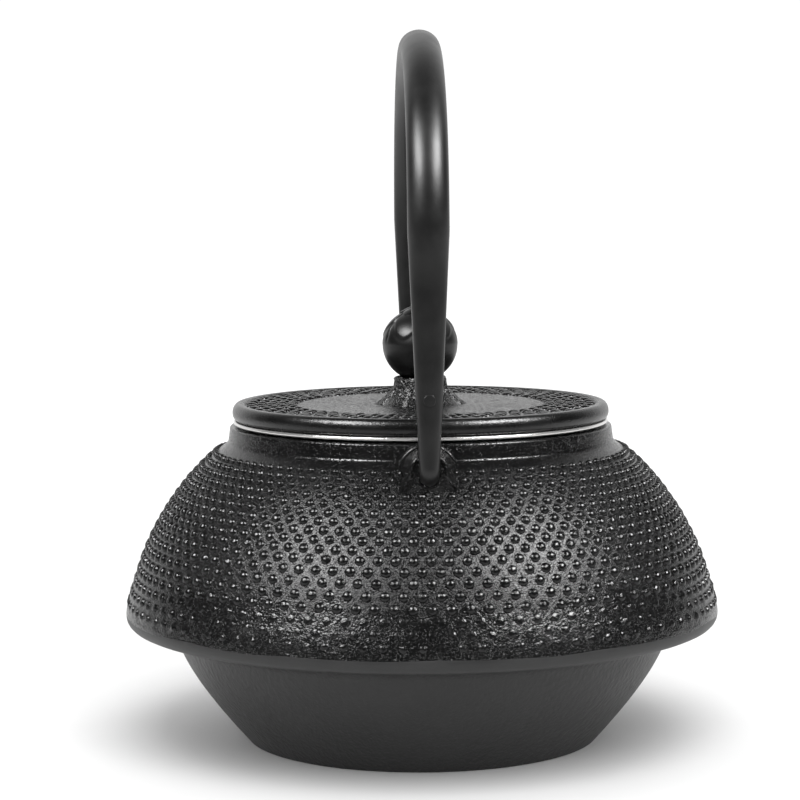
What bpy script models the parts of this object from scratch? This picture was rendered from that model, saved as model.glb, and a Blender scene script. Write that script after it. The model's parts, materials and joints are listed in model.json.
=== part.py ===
"""Cast iron teapot with a lid, a steel leaf infuser and a bail handle that folds to either side.

Units are metres and +Z is up. The origin is the middle of the flat base. The spout points along +Y,
and the handle swings about an axis along Y.
"""
import math

import bmesh
import bpy
from mathutils import Vector

MM = 0.001
CLEARANCE = 0.3 * MM        # gap between pieces that rest on each other

# Pot
SKIRT_RADIUS = 85.0 * MM
SKIRT_HEIGHT = 37.5 * MM
SKIRT_ROLL = ((80.8 * MM, 33.8 * MM), (82.6 * MM, 33.9 * MM), (84.2 * MM, 35.0 * MM))
BASE_RADIUS = 50.3 * MM
BASE_EDGE = 0.6 * MM
BOWL_RIM = (71.1 * MM, 31.9 * MM)
BOWL_PULL = (69.6 * MM, 21.6 * MM)
DOME_TOP = (56.2 * MM, 85.4 * MM)
DOME_PULLS = ((83.2 * MM, 48.1 * MM), (77.5 * MM, 69.8 * MM))
NECK_RADIUS = 54.8 * MM
NECK_EDGE_HEIGHT = 89.6 * MM
NECK_TOP = 90.4 * MM
MOUTH_RADIUS = 46.5 * MM
WALL = 3.5 * MM
BASE_THICKNESS = 4.0 * MM

# Lugs and the handle's axis
PIVOT_HEIGHT = 82.3 * MM
LUG_FACE = 63.6 * MM
LUG_TOP = 88.4 * MM
LUG_CROWN_RADIUS = 5.2 * MM
LUG_FOOT_HALF_WIDTH = 8.5 * MM
LUG_FOOT_HEIGHT = 74.0 * MM
LUG_BORE_RADIUS = 2.5 * MM
LUG_BORE_DEPTH = 3.4 * MM
LUG_ROOT = 50.0 * MM        # where a lug starts, inside the neck

# Spout
SPOUT_ROUTE = ((58.0 * MM, 50.0 * MM), (84.0 * MM, 58.0 * MM), (100.0 * MM, 84.5 * MM))
SPOUT_ROOT_RADIUS = 14.5 * MM
SPOUT_TIP_RADIUS = 7.6 * MM
SPOUT_WALL = 2.6 * MM
SPOUT_LIP_TILT = math.radians(24.0)

# Lid
LID_UNDERSIDE = 91.9 * MM
LID_TOP = 95.9 * MM
LID_RADIUS = 53.2 * MM
LID_BORDER_RADIUS = 49.8 * MM
LID_BORDER_TOP = 96.5 * MM
LID_BEAD_RADIUS = 1.9 * MM
LID_RING_OUTER = 44.4 * MM
LID_RING_INNER = 41.6 * MM
LID_RING_FOOT = 85.0 * MM
BOSS_RADIUS = 13.0 * MM
COLLAR_RADIUS = 7.6 * MM
COLLAR_FOOT = 100.3 * MM
COLLAR_TOP = 103.7 * MM

# Knob and its pin
KNOB_FOOT_RADIUS = 5.9 * MM
KNOB_RADIUS = 10.8 * MM
KNOB_LEDGE = 0.3 * MM
KNOB_EQUATOR = 113.7 * MM
KNOB_CROWN = 123.6 * MM
STEM_RADIUS = 1.9 * MM
STEM_TOP = 126.0 * MM
PIN_RADIUS = 2.0 * MM
PIN_HEAD_RADIUS = 3.8 * MM
PIN_HEAD_HEIGHT = 1.9 * MM
PIN_TOP = 112.0 * MM
WASHER_RADIUS = 5.8 * MM
WASHER_THICKNESS = 1.0 * MM

# Infuser
FLANGE_RADIUS = 53.1 * MM
FLANGE_BOTTOM = NECK_TOP + CLEARANCE
FLANGE_TOP = LID_UNDERSIDE - CLEARANCE
BAND_OUTER = 45.9 * MM
BAND_THICKNESS = 0.6 * MM
SHELF_TOP = 84.0 * MM
SLEEVE_FOOT = 79.5 * MM
BASKET_RADIUS = 37.0 * MM
MESH_THICKNESS = 0.5 * MM
MESH_TOP = 83.7 * MM
INFUSER_FOOT = 41.0 * MM
BASE_RING_HEIGHT = 7.0 * MM
BASE_RING_LIP = 6.5 * MM

# Handle
LEG_FOOT_FACE = 64.0 * MM
LEG_FOOT_BEND = 2.8 * MM
KINK = (69.0 * MM, 147.0 * MM)
APEX_TOP = 202.0 * MM
ARCH_FULLNESS = 2.2
TUBE_RADIUS = 5.5 * MM
TUBE_HALF_DEPTH = 4.8 * MM
FOOT_HALF_WIDTH = 2.6 * MM
FOOT_HALF_DEPTH = 2.4 * MM
LEG_HALF_DEPTH = 3.0 * MM
FLAT_START = 137.0 * MM
LEG_STATIONS = (96.0 * MM, 110.0 * MM, 124.0 * MM)
TUBE_WALL = 0.9 * MM
PEG_RADIUS = 2.2 * MM
TANG_RADIUS = 1.15 * MM
TANG_PAD_HALF_WIDTH = 2.1 * MM
TANG_WIDENS = (92.0 * MM, 98.0 * MM)
TANG_TOP = 108.0 * MM
RIVET_HEIGHT = 103.0 * MM
RIVET_HEAD_RADIUS = 1.6 * MM
RIVET_HEAD_THICKNESS = 0.5 * MM
RIVET_SHANK_RADIUS = 0.8 * MM

# How finely round shapes are divided
ROUND_STEPS = 48
KNOB_STEPS = 24
PIN_STEPS = 16
TUBE_STEPS = 12
SMALL_STEPS = 12
SHARP_ANGLE = math.radians(35.0)


def clear_scene():
    for item in list(bpy.data.objects):
        bpy.data.objects.remove(item, do_unlink=True)


def make_material(name, colour, roughness, metallic):
    material = bpy.data.materials.new(name)
    material.use_nodes = True
    shader = material.node_tree.nodes["Principled BSDF"]
    shader.inputs["Base Color"].default_value = (*colour, 1.0)
    shader.inputs["Roughness"].default_value = roughness
    shader.inputs["Metallic"].default_value = metallic
    return material


def make_pivot(name, height, parent=None):
    """An empty on the Z axis at the given world height."""
    pivot = bpy.data.objects.new(name, None)
    bpy.context.collection.objects.link(pivot)
    pivot.parent = parent
    pivot.location.z = height - world_height(parent)
    return pivot


def world_height(pivot):
    height = 0.0
    while pivot is not None:
        height += pivot.location.z
        pivot = pivot.parent
    return height


def add_object(name, mesh_data, material, parent=None):
    """Turn a bmesh in world coordinates into an object under its pivot."""
    bmesh.ops.recalc_face_normals(mesh_data, faces=mesh_data.faces)
    bmesh.ops.translate(mesh_data, verts=mesh_data.verts, vec=(0.0, 0.0, -world_height(parent)))
    mesh = bpy.data.meshes.new(name)
    mesh_data.to_mesh(mesh)
    mesh_data.free()
    mesh.shade_smooth()
    mesh.set_sharp_from_angle(angle=SHARP_ANGLE)
    item = bpy.data.objects.new(name, mesh)
    item.parent = parent
    bpy.context.collection.objects.link(item)
    if material is not None:
        mesh.materials.append(material)
    return item


def add_boolean(target, helper, operation):
    """Join a helper shape to a piece or cut it away, and keep the helper out of the model."""
    helper.hide_render = True
    helper.display_type = "WIRE"
    modifier = target.modifiers.new(helper.name, "BOOLEAN")
    modifier.object = helper
    modifier.operation = operation
    modifier.solver = "EXACT"


def quadratic(points, steps):
    """Points along a quadratic Bezier curve, both ends included."""
    start, pull, end = (Vector(point) for point in points)
    route = []
    for step in range(steps + 1):
        t = step / steps
        route.append(start * (1 - t) ** 2 + pull * 2 * t * (1 - t) + end * t ** 2)
    return route


def cubic(points, steps):
    """Points along a cubic Bezier curve, both ends included."""
    start, pull_a, pull_b, end = (Vector(point) for point in points)
    route = []
    for step in range(steps + 1):
        t = step / steps
        route.append(start * (1 - t) ** 3 + pull_a * 3 * t * (1 - t) ** 2
                     + pull_b * 3 * t ** 2 * (1 - t) + end * t ** 3)
    return route


def arc(centre, radii, start_degrees, end_degrees, steps):
    """Points along an elliptical arc about centre, both ends included."""
    route = []
    for step in range(steps + 1):
        angle = math.radians(start_degrees + (end_degrees - start_degrees) * step / steps)
        route.append(Vector((centre[0] + radii[0] * math.cos(angle),
                             centre[1] + radii[1] * math.sin(angle))))
    return route


def moved_in(route, distance):
    """The same route, shifted to its left-hand side by distance."""
    shifted = []
    for index, point in enumerate(route):
        before = route[max(index - 1, 0)]
        after = route[min(index + 1, len(route) - 1)]
        along = (after - before).normalized()
        shifted.append(point + Vector((-along.y, along.x)) * distance)
    return shifted


def turned(outline, steps):
    """Revolve a closed outline of (radius, height) points about Z."""
    mesh_data = bmesh.new()
    columns = []
    for radius, height in outline:
        if radius < 1e-7:
            columns.append([mesh_data.verts.new((0.0, 0.0, height))] * steps)
            continue
        angles = (2 * math.pi * step / steps for step in range(steps))
        columns.append([mesh_data.verts.new((radius * math.cos(a), radius * math.sin(a), height))
                        for a in angles])
    for index, column in enumerate(columns):
        below = columns[index - 1]
        for step in range(steps):
            following = (step + 1) % steps
            corners = [below[step], below[following], column[following], column[step]]
            corners = list(dict.fromkeys(corners))
            if len(corners) > 2:
                mesh_data.faces.new(corners)
    return mesh_data


def ring(inner, outer, bottom, top):
    """Outline of a plain ring with a rectangular section."""
    return [(outer, bottom), (outer, top), (inner, top), (inner, bottom)]


def bridge(mesh_data, rings):
    """Skin between neighbouring rings of vertices."""
    for ring_a, ring_b in zip(rings, rings[1:]):
        count = len(ring_a)
        for step in range(count):
            following = (step + 1) % count
            mesh_data.faces.new([ring_a[step], ring_a[following], ring_b[following], ring_b[step]])


def loft(sections):
    """Closed solid through a list of sections, each a list of points."""
    mesh_data = bmesh.new()
    rings = [[mesh_data.verts.new(point) for point in section] for section in sections]
    bridge(mesh_data, rings)
    mesh_data.faces.new(rings[0])
    mesh_data.faces.new(rings[-1])
    return mesh_data


def open_tube(outer_sections, inner_sections):
    """Tube with a wall, open at both ends."""
    mesh_data = bmesh.new()
    outer = [[mesh_data.verts.new(point) for point in section] for section in outer_sections]
    inner = [[mesh_data.verts.new(point) for point in section] for section in inner_sections]
    bridge(mesh_data, outer)
    bridge(mesh_data, inner)
    bridge(mesh_data, [outer[0], inner[0]])
    bridge(mesh_data, [outer[-1], inner[-1]])
    return mesh_data


def rod_along_y(side, radius, near, far, height, steps=PIN_STEPS):
    """Round rod along Y on one side of the pot, between two distances from the middle."""
    sections = []
    for distance in (near, far):
        sections.append([(radius * math.cos(2 * math.pi * step / steps), side * distance,
                          height + radius * math.sin(2 * math.pi * step / steps)) for step in range(steps)])
    return loft(sections)


# Pot ------------------------------------------------------------------------------------------------

def pot_outline():
    bowl = quadratic(((BASE_RADIUS + BASE_EDGE, BASE_EDGE), BOWL_PULL, BOWL_RIM), 5)
    skirt = list(SKIRT_ROLL)
    dome = cubic(((SKIRT_RADIUS, SKIRT_HEIGHT), *DOME_PULLS, DOME_TOP), 8)
    neck = [(NECK_RADIUS, DOME_TOP[1] + 0.7 * MM), (NECK_RADIUS - 0.2 * MM, NECK_EDGE_HEIGHT - 0.6 * MM),
            (NECK_RADIUS - 0.8 * MM, NECK_EDGE_HEIGHT), (NECK_RADIUS - 4.5 * MM, NECK_TOP)]
    return [(0.0, 0.0), (BASE_RADIUS, 0.0)] + bowl + skirt + dome + neck + [(0.0, NECK_TOP)]


def cavity_outline():
    bowl = quadratic(((BASE_RADIUS, 0.0), BOWL_PULL, BOWL_RIM), 4)
    dome = cubic(((SKIRT_RADIUS, SKIRT_HEIGHT), *DOME_PULLS, DOME_TOP), 7)
    bowl_inside = moved_in(bowl, WALL)[1:]
    dome_inside = moved_in(dome, WALL)[1:-1]
    floor_edge = (bowl_inside[0].x - 4.0 * MM, BASE_THICKNESS)
    skirt_inside = [(SKIRT_RADIUS - 6.0 * MM, SKIRT_HEIGHT + 1.8 * MM)]
    mouth = [(MOUTH_RADIUS + 4.0 * MM, DOME_TOP[1] - 1.0 * MM), (MOUTH_RADIUS, DOME_TOP[1]),
             (MOUTH_RADIUS, NECK_TOP - 1.0 * MM), (MOUTH_RADIUS + 1.4 * MM, NECK_TOP + 0.4 * MM)]
    above = NECK_TOP + 10.0 * MM
    throat = [(MOUTH_RADIUS + 1.4 * MM, above), (0.0, above)]
    return [(0.0, BASE_THICKNESS), floor_edge] + bowl_inside + skirt_inside + dome_inside + mouth + throat


def lug_profile():
    """Bell shape of a lug, seen along Y."""
    crown_centre = (0.0, LUG_TOP - LUG_CROWN_RADIUS)
    crown = arc(crown_centre, (LUG_CROWN_RADIUS, LUG_CROWN_RADIUS), 20, 160, 6)
    shoulder = (LUG_CROWN_RADIUS + 1.2 * MM, PIVOT_HEIGHT - 1.5 * MM)
    right = [(LUG_FOOT_HALF_WIDTH, LUG_FOOT_HEIGHT), shoulder]
    left = [(-x, z) for x, z in reversed(right)]
    return right + crown + left


def lug(side):
    sections = [[(x, side * distance, z) for x, z in lug_profile()] for distance in (LUG_ROOT, LUG_FACE)]
    return loft(sections)


def spout_sections(root_radius, tip_radius, stretch):
    """Round sections along the spout's curve, the last one tilted to form the lip."""
    route = quadratic(SPOUT_ROUTE, 6)
    route[-1] += (route[-1] - route[-2]).normalized() * stretch
    sections = []
    for index, centre in enumerate(route):
        t = index / (len(route) - 1)
        radius = root_radius + (tip_radius - root_radius) * math.sin(t * math.pi / 2) ** 0.8
        before = route[max(index - 1, 0)]
        after = route[min(index + 1, len(route) - 1)]
        lean = math.atan2(after.y - before.y, after.x - before.x)
        if index == len(route) - 1:
            lean += SPOUT_LIP_TILT
        across = Vector((-math.sin(lean), math.cos(lean)))
        section = []
        for step in range(PIN_STEPS):
            angle = 2 * math.pi * step / PIN_STEPS
            middle = centre + across * radius * math.sin(angle)
            section.append((radius * math.cos(angle), middle.x, middle.y))
        sections.append(section)
    return sections


def build_pot(iron):
    pot = add_object("pot_body", turned(pot_outline(), ROUND_STEPS), iron)
    spout = add_object("spout_form", loft(spout_sections(SPOUT_ROOT_RADIUS, SPOUT_TIP_RADIUS, 0.0)), None)
    add_boolean(pot, spout, "UNION")
    for side, name in ((1, "front"), (-1, "rear")):
        add_boolean(pot, add_object("lug_form_" + name, lug(side), None), "UNION")
    cavity = add_object("cavity_cutter", turned(cavity_outline(), ROUND_STEPS), None)
    add_boolean(pot, cavity, "DIFFERENCE")
    channel = spout_sections(SPOUT_ROOT_RADIUS - SPOUT_WALL, SPOUT_TIP_RADIUS - SPOUT_WALL, 2.0 * MM)
    add_boolean(pot, add_object("channel_cutter", loft(channel), None), "DIFFERENCE")
    bore_end = LUG_FACE - LUG_BORE_DEPTH
    beyond_face = LUG_FACE + 3.0 * MM
    for side, name in ((1, "front"), (-1, "rear")):
        bore = rod_along_y(side, LUG_BORE_RADIUS, bore_end, beyond_face, PIVOT_HEIGHT)
        add_boolean(pot, add_object("bore_cutter_" + name, bore, None), "DIFFERENCE")


# Infuser --------------------------------------------------------------------------------------------

def build_infuser(steel, gauze, pivot):
    band_inner = BAND_OUTER - BAND_THICKNESS
    sleeve_inner = BASKET_RADIUS + CLEARANCE
    sleeve_outer = sleeve_inner + BAND_THICKNESS
    shelf_bottom = SHELF_TOP - BAND_THICKNESS
    flange = [(FLANGE_RADIUS, FLANGE_BOTTOM), (FLANGE_RADIUS, FLANGE_TOP), (band_inner, FLANGE_TOP),
              (band_inner, SHELF_TOP), (sleeve_inner, SHELF_TOP), (sleeve_inner, SLEEVE_FOOT),
              (sleeve_outer, SLEEVE_FOOT), (sleeve_outer, shelf_bottom), (BAND_OUTER, shelf_bottom),
              (BAND_OUTER, FLANGE_BOTTOM)]
    add_object("infuser_flange", turned(flange, ROUND_STEPS), steel, pivot)

    disc_bottom = INFUSER_FOOT + MESH_THICKNESS + CLEARANCE
    disc_top = disc_bottom + MESH_THICKNESS
    wall = ring(BASKET_RADIUS - MESH_THICKNESS, BASKET_RADIUS, disc_top + CLEARANCE, MESH_TOP)
    add_object("infuser_wall", turned(wall, ROUND_STEPS), gauze, pivot)

    disc = [(0.0, disc_bottom), (BASKET_RADIUS, disc_bottom), (BASKET_RADIUS, disc_top), (0.0, disc_top)]
    add_object("infuser_base", turned(disc, ROUND_STEPS), gauze, pivot)

    ring_inner = BASKET_RADIUS + CLEARANCE
    ring_outer = ring_inner + MESH_THICKNESS
    lip = INFUSER_FOOT + MESH_THICKNESS
    base_ring = [(ring_outer, INFUSER_FOOT), (ring_outer, INFUSER_FOOT + BASE_RING_HEIGHT),
                 (ring_inner, INFUSER_FOOT + BASE_RING_HEIGHT), (ring_inner, lip),
                 (ring_outer - BASE_RING_LIP, lip), (ring_outer - BASE_RING_LIP, INFUSER_FOOT)]
    add_object("infuser_base_ring", turned(base_ring, ROUND_STEPS), steel, pivot)


# Lid ------------------------------------------------------------------------------------------------

def lid_outline():
    bore = PIN_RADIUS + CLEARANCE
    underside = [(bore, LID_UNDERSIDE), (LID_RING_INNER, LID_UNDERSIDE), (LID_RING_INNER, LID_RING_FOOT),
                 (LID_RING_OUTER, LID_RING_FOOT), (LID_RING_OUTER, LID_UNDERSIDE)]
    bead_centre = (LID_RADIUS - LID_BEAD_RADIUS, (LID_UNDERSIDE + LID_BORDER_TOP) / 2)
    bead = arc(bead_centre, (LID_BEAD_RADIUS, (LID_BORDER_TOP - LID_UNDERSIDE) / 2), -80, 80, 4)
    border = [(LID_BORDER_RADIUS + 0.6 * MM, LID_BORDER_TOP), (LID_BORDER_RADIUS, LID_TOP)]
    flare = quadratic(((BOSS_RADIUS, LID_TOP), (COLLAR_RADIUS, LID_TOP + 1.0 * MM),
                       (COLLAR_RADIUS - 0.6 * MM, COLLAR_FOOT)), 3)
    collar = [(COLLAR_RADIUS, COLLAR_FOOT + 0.5 * MM), (COLLAR_RADIUS, COLLAR_TOP - 0.4 * MM),
              (COLLAR_RADIUS - 0.4 * MM, COLLAR_TOP), (bore, COLLAR_TOP)]
    return underside + bead + border + flare + collar


def knob_outline():
    bore = PIN_RADIUS + CLEARANCE
    bottom = COLLAR_TOP + CLEARANCE
    lower_radius = KNOB_RADIUS - KNOB_LEDGE
    lower_depth = (KNOB_EQUATOR - bottom) / math.cos(math.asin(KNOB_FOOT_RADIUS / lower_radius))
    start = -math.degrees(math.acos(KNOB_FOOT_RADIUS / lower_radius))
    lower = arc((0.0, KNOB_EQUATOR), (lower_radius, lower_depth), start, 0, 4)
    upper = arc((0.0, KNOB_EQUATOR), (KNOB_RADIUS, KNOB_CROWN - KNOB_EQUATOR), 3, 78, 6)
    stem = [(STEM_RADIUS, KNOB_CROWN), (STEM_RADIUS, STEM_TOP - 0.6 * MM),
            (STEM_RADIUS - 0.6 * MM, STEM_TOP), (0.0, STEM_TOP)]
    bore_roof = PIN_TOP + CLEARANCE
    return [(0.0, bore_roof), (bore, bore_roof), (bore, bottom)] + lower + upper + stem


def build_lid(iron, pivot):
    add_object("lid", turned(lid_outline(), ROUND_STEPS), iron, pivot)


def build_knob(black, steel, pivot):
    add_object("knob", turned(knob_outline(), KNOB_STEPS), black, pivot)
    washer_top = LID_UNDERSIDE - CLEARANCE
    washer_bottom = washer_top - WASHER_THICKNESS
    washer = ring(PIN_RADIUS + CLEARANCE, WASHER_RADIUS, washer_bottom, washer_top)
    add_object("knob_washer", turned(washer, KNOB_STEPS), steel, pivot)
    head_top = washer_bottom - CLEARANCE
    head_bottom = head_top - PIN_HEAD_HEIGHT
    pin = [(0.0, head_bottom), (PIN_HEAD_RADIUS * 0.6, head_bottom + 0.2 * MM),
           (PIN_HEAD_RADIUS, head_bottom + 1.0 * MM), (PIN_HEAD_RADIUS, head_top), (PIN_RADIUS, head_top),
           (PIN_RADIUS, PIN_TOP), (0.0, PIN_TOP)]
    add_object("knob_pin", turned(pin, PIN_STEPS), steel, pivot)


# Handle ---------------------------------------------------------------------------------------------

def leg_route():
    """Centre line in the YZ plane, from the open foot at the lug up to the kink."""
    bend_centre = (LEG_FOOT_FACE, PIVOT_HEIGHT + LEG_FOOT_BEND)
    foot = arc(bend_centre, (LEG_FOOT_BEND, LEG_FOOT_BEND), -90, 0, 4)
    kink = Vector(KINK)
    heights = (*LEG_STATIONS, FLAT_START, (FLAT_START + kink.y) / 2, kink.y)
    leg = [foot[-1].lerp(kink, (height - foot[-1].y) / (kink.y - foot[-1].y)) for height in heights]
    return foot + leg


def arch_route(steps):
    """Centre line from just above the kink to the apex."""
    reach, kink_height = KINK
    rise = APEX_TOP - TUBE_HALF_DEPTH - kink_height
    route = []
    for step in range(1, steps + 1):
        angle = math.pi / 2 * step / steps
        route.append(Vector((reach * math.cos(angle) ** (2 / ARCH_FULLNESS),
                             kink_height + rise * math.sin(angle) ** (2 / ARCH_FULLNESS))))
    return route


def tube_size(height):
    """Half width, half depth and squareness of the tube's section at a height."""
    taper = min(max((height - PIVOT_HEIGHT) / (KINK[1] - PIVOT_HEIGHT), 0.0), 1.0)
    half_width = FOOT_HALF_WIDTH + (TUBE_RADIUS - FOOT_HALF_WIDTH) * taper
    flat_depth = FOOT_HALF_DEPTH + (LEG_HALF_DEPTH - FOOT_HALF_DEPTH) * taper
    round_part = min(max((height - FLAT_START) / (KINK[1] - FLAT_START), 0.0), 1.0)
    half_depth = flat_depth + (TUBE_HALF_DEPTH - flat_depth) * round_part
    squareness = 2.0 + 0.8 * min(taper * 4, 1.0) * (1 - round_part)
    return half_width, half_depth, squareness


def section(centre, along, half_width, half_depth, squareness, steps):
    """Rounded section across a route in the YZ plane."""
    outwards = Vector((along.y, -along.x))
    points = []
    for step in range(steps):
        angle = 2 * math.pi * step / steps
        cosine, sine = math.cos(angle), math.sin(angle)
        wide = half_width * math.copysign(abs(cosine) ** (2 / squareness), cosine)
        deep = half_depth * math.copysign(abs(sine) ** (2 / squareness), sine)
        middle = centre + outwards * deep
        points.append((wide, middle.x, middle.y))
    return points


def directions(route, start):
    """Unit directions along a route that begins heading along start."""
    ahead = [start]
    for index in range(1, len(route)):
        before = route[index - 1]
        after = route[min(index + 1, len(route) - 1)]
        ahead.append((after - before).normalized())
    return ahead


def build_grip(black, pivot):
    half = leg_route() + arch_route(9)
    mirrored = [Vector((-point.x, point.y)) for point in reversed(half[:-1])]
    route = half + mirrored
    ahead = directions(route, Vector((1.0, 0.0)))
    ahead[-1] = Vector((1.0, 0.0))
    outer = []
    inner = []
    for point, along in zip(route, ahead):
        half_width, half_depth, squareness = tube_size(point.y)
        outer.append(section(point, along, half_width, half_depth, squareness, TUBE_STEPS))
        inner.append(section(point, along, half_width - TUBE_WALL, half_depth - TUBE_WALL,
                             squareness, TUBE_STEPS))
    grip = add_object("handle_grip", open_tube(outer, inner), black, pivot)
    for side, name in ((1, "front"), (-1, "rear")):
        hole = rivet_form(side, CLEARANCE, 2.0 * MM)
        add_boolean(grip, add_object("rivet_cutter_" + name, hole, None, pivot), "DIFFERENCE")


def leg_centre(height):
    """Distance of a leg's centre line from the middle of the pot at a height above the foot."""
    foot = LEG_FOOT_FACE + LEG_FOOT_BEND
    foot_height = PIVOT_HEIGHT + LEG_FOOT_BEND
    return foot + (KINK[0] - foot) * (height - foot_height) / (KINK[1] - foot_height)


def rivet_form(side, extra, overshoot):
    """Rivet through a leg: flush head outside, shank through both walls. extra makes its hole."""
    half_depth = tube_size(RIVET_HEIGHT)[1]
    outside = leg_centre(RIVET_HEIGHT) + half_depth
    inside = leg_centre(RIVET_HEIGHT) - half_depth
    shank = RIVET_SHANK_RADIUS + extra
    head = RIVET_HEAD_RADIUS + extra
    shoulder = outside - RIVET_HEAD_THICKNESS - extra
    stations = ((inside - overshoot, shank), (shoulder, shank), (shoulder, head),
                (outside + overshoot, head))
    sections = []
    for distance, radius in stations:
        sections.append([(radius * math.cos(2 * math.pi * step / SMALL_STEPS), side * distance,
                          RIVET_HEIGHT + radius * math.sin(2 * math.pi * step / SMALL_STEPS))
                         for step in range(SMALL_STEPS)])
    return loft(sections)


def hook_sections():
    """Sections of a hook in the half plane Y > 0: peg, neck, then the tang up inside the leg."""
    along = Vector((1.0, 0.0))
    peg_start = LUG_FACE - LUG_BORE_DEPTH + CLEARANCE
    peg_end = LEG_FOOT_FACE - CLEARANCE
    stations = [(peg_start, PEG_RADIUS), (peg_end, PEG_RADIUS), (peg_end, TANG_RADIUS)]
    sections = [section(Vector((distance, PIVOT_HEIGHT)), along, radius, radius, 2.0, SMALL_STEPS)
                for distance, radius in stations]
    bend_centre = (LEG_FOOT_FACE, PIVOT_HEIGHT + LEG_FOOT_BEND)
    foot = arc(bend_centre, (LEG_FOOT_BEND, LEG_FOOT_BEND), -90, 0, 4)
    widens_from, widens_to = TANG_WIDENS
    heights = (widens_from, widens_to, RIVET_HEIGHT, TANG_TOP)
    tang = [Vector((leg_centre(height), height)) for height in heights]
    route = foot + tang
    for point, ahead in zip(route, directions(route, along)):
        widen = min(max((point.y - widens_from) / (widens_to - widens_from), 0.0), 1.0)
        half_width = TANG_RADIUS + (TANG_PAD_HALF_WIDTH - TANG_RADIUS) * widen
        sections.append(section(point, ahead, half_width, TANG_RADIUS, 2.0, SMALL_STEPS))
    return sections


def build_hooks(steel, pivot):
    for side, name in ((1, "front"), (-1, "rear")):
        sections = [[(x, side * y, z) for x, y, z in points] for points in hook_sections()]
        hook = add_object("handle_hook_" + name, loft(sections), steel, pivot)
        hole = rod_along_y(side, RIVET_SHANK_RADIUS + CLEARANCE, LUG_FACE, LUG_FACE + 10.0 * MM,
                           RIVET_HEIGHT, SMALL_STEPS)
        add_boolean(hook, add_object("tang_cutter_" + name, hole, None, pivot), "DIFFERENCE")
        add_object("handle_rivet_" + name, rivet_form(side, 0.0, 0.0), steel, pivot)


def build():
    clear_scene()
    iron = make_material("black_cast_iron", (0.028, 0.028, 0.029), 0.55, 0.35)
    lid_iron = make_material("lid_cast_iron", (0.030, 0.030, 0.031), 0.5, 0.35)
    black = make_material("satin_black_paint", (0.018, 0.018, 0.018), 0.38, 0.1)
    knob_black = make_material("knob_black_enamel", (0.014, 0.014, 0.014), 0.28, 0.1)
    steel = make_material("stainless_steel", (0.62, 0.61, 0.59), 0.25, 1.0)
    gauze = make_material("steel_mesh", (0.50, 0.50, 0.49), 0.4, 1.0)
    hook_steel = make_material("blackened_steel", (0.03, 0.03, 0.03), 0.45, 0.6)

    infuser_slide = make_pivot("infuser_slide", FLANGE_BOTTOM)
    lid_slide = make_pivot("lid_slide", LID_UNDERSIDE, infuser_slide)
    knob_axis = make_pivot("knob_axis", COLLAR_TOP, lid_slide)
    handle_axis = make_pivot("handle_axis", PIVOT_HEIGHT)

    build_pot(iron)
    build_infuser(steel, gauze, infuser_slide)
    build_lid(lid_iron, lid_slide)
    build_knob(knob_black, steel, knob_axis)
    build_grip(black, handle_axis)
    build_hooks(hook_steel, handle_axis)


build()
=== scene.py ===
"""Looks of the cast iron teapot: hobnailed iron casting, studded lid, steel infuser and satin bail handle.

Shapes are worked out in millimetres and become metres when a piece is made. +Z is up, the spout points
along +Y, and the camera looks at the pot from behind, along +Y.
"""

import json
import math
import random

import bmesh
import bpy
import numpy as np
from mathutils import Matrix, Vector, noise


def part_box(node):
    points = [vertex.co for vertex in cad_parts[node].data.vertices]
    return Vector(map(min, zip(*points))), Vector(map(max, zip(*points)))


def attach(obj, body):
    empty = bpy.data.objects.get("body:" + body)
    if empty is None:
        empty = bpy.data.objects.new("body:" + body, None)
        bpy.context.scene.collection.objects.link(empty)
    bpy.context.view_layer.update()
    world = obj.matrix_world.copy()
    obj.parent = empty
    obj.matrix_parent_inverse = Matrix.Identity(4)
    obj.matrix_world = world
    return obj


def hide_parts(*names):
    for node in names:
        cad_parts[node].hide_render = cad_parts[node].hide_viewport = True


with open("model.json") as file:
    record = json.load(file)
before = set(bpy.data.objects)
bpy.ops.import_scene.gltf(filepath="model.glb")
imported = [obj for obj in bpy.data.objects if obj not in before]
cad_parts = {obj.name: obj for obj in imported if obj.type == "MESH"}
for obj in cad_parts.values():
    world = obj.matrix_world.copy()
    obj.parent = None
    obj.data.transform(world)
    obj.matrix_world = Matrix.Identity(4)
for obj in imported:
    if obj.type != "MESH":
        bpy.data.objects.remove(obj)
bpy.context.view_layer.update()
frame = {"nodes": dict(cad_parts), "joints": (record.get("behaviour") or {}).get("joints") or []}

MM = 0.001
TURN = 2 * math.pi
REAR = -math.pi / 2         # columns of turned pieces are counted from the side opposite the spout
FRONT = math.pi / 2


def node_box(name):
    """Lowest and highest corner of a CAD node, in millimetres."""
    low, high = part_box(name)
    return low / MM, high / MM


POT_HIGH = node_box("pot_body")[1]
LID_LOW, LID_HIGH = node_box("lid")
KNOB_LOW, KNOB_HIGH = node_box("knob")
PIN_LOW, PIN_HIGH = node_box("knob_pin")
WASHER_LOW, WASHER_HIGH = node_box("knob_washer")
FLANGE_LOW, FLANGE_HIGH = node_box("infuser_flange")
MESH_LOW, MESH_HIGH = node_box("infuser_wall")
DISC_LOW, DISC_HIGH = node_box("infuser_base")
RING_LOW, RING_HIGH = node_box("infuser_base_ring")
GRIP_HIGH = node_box("handle_grip")[1]
RIVET_LOW, RIVET_HIGH = node_box("handle_rivet_front")
PIVOT_HEIGHT = next(j for j in frame["joints"] if j["name"] == "handle_swing")["pos_m"][2] / MM

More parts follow.
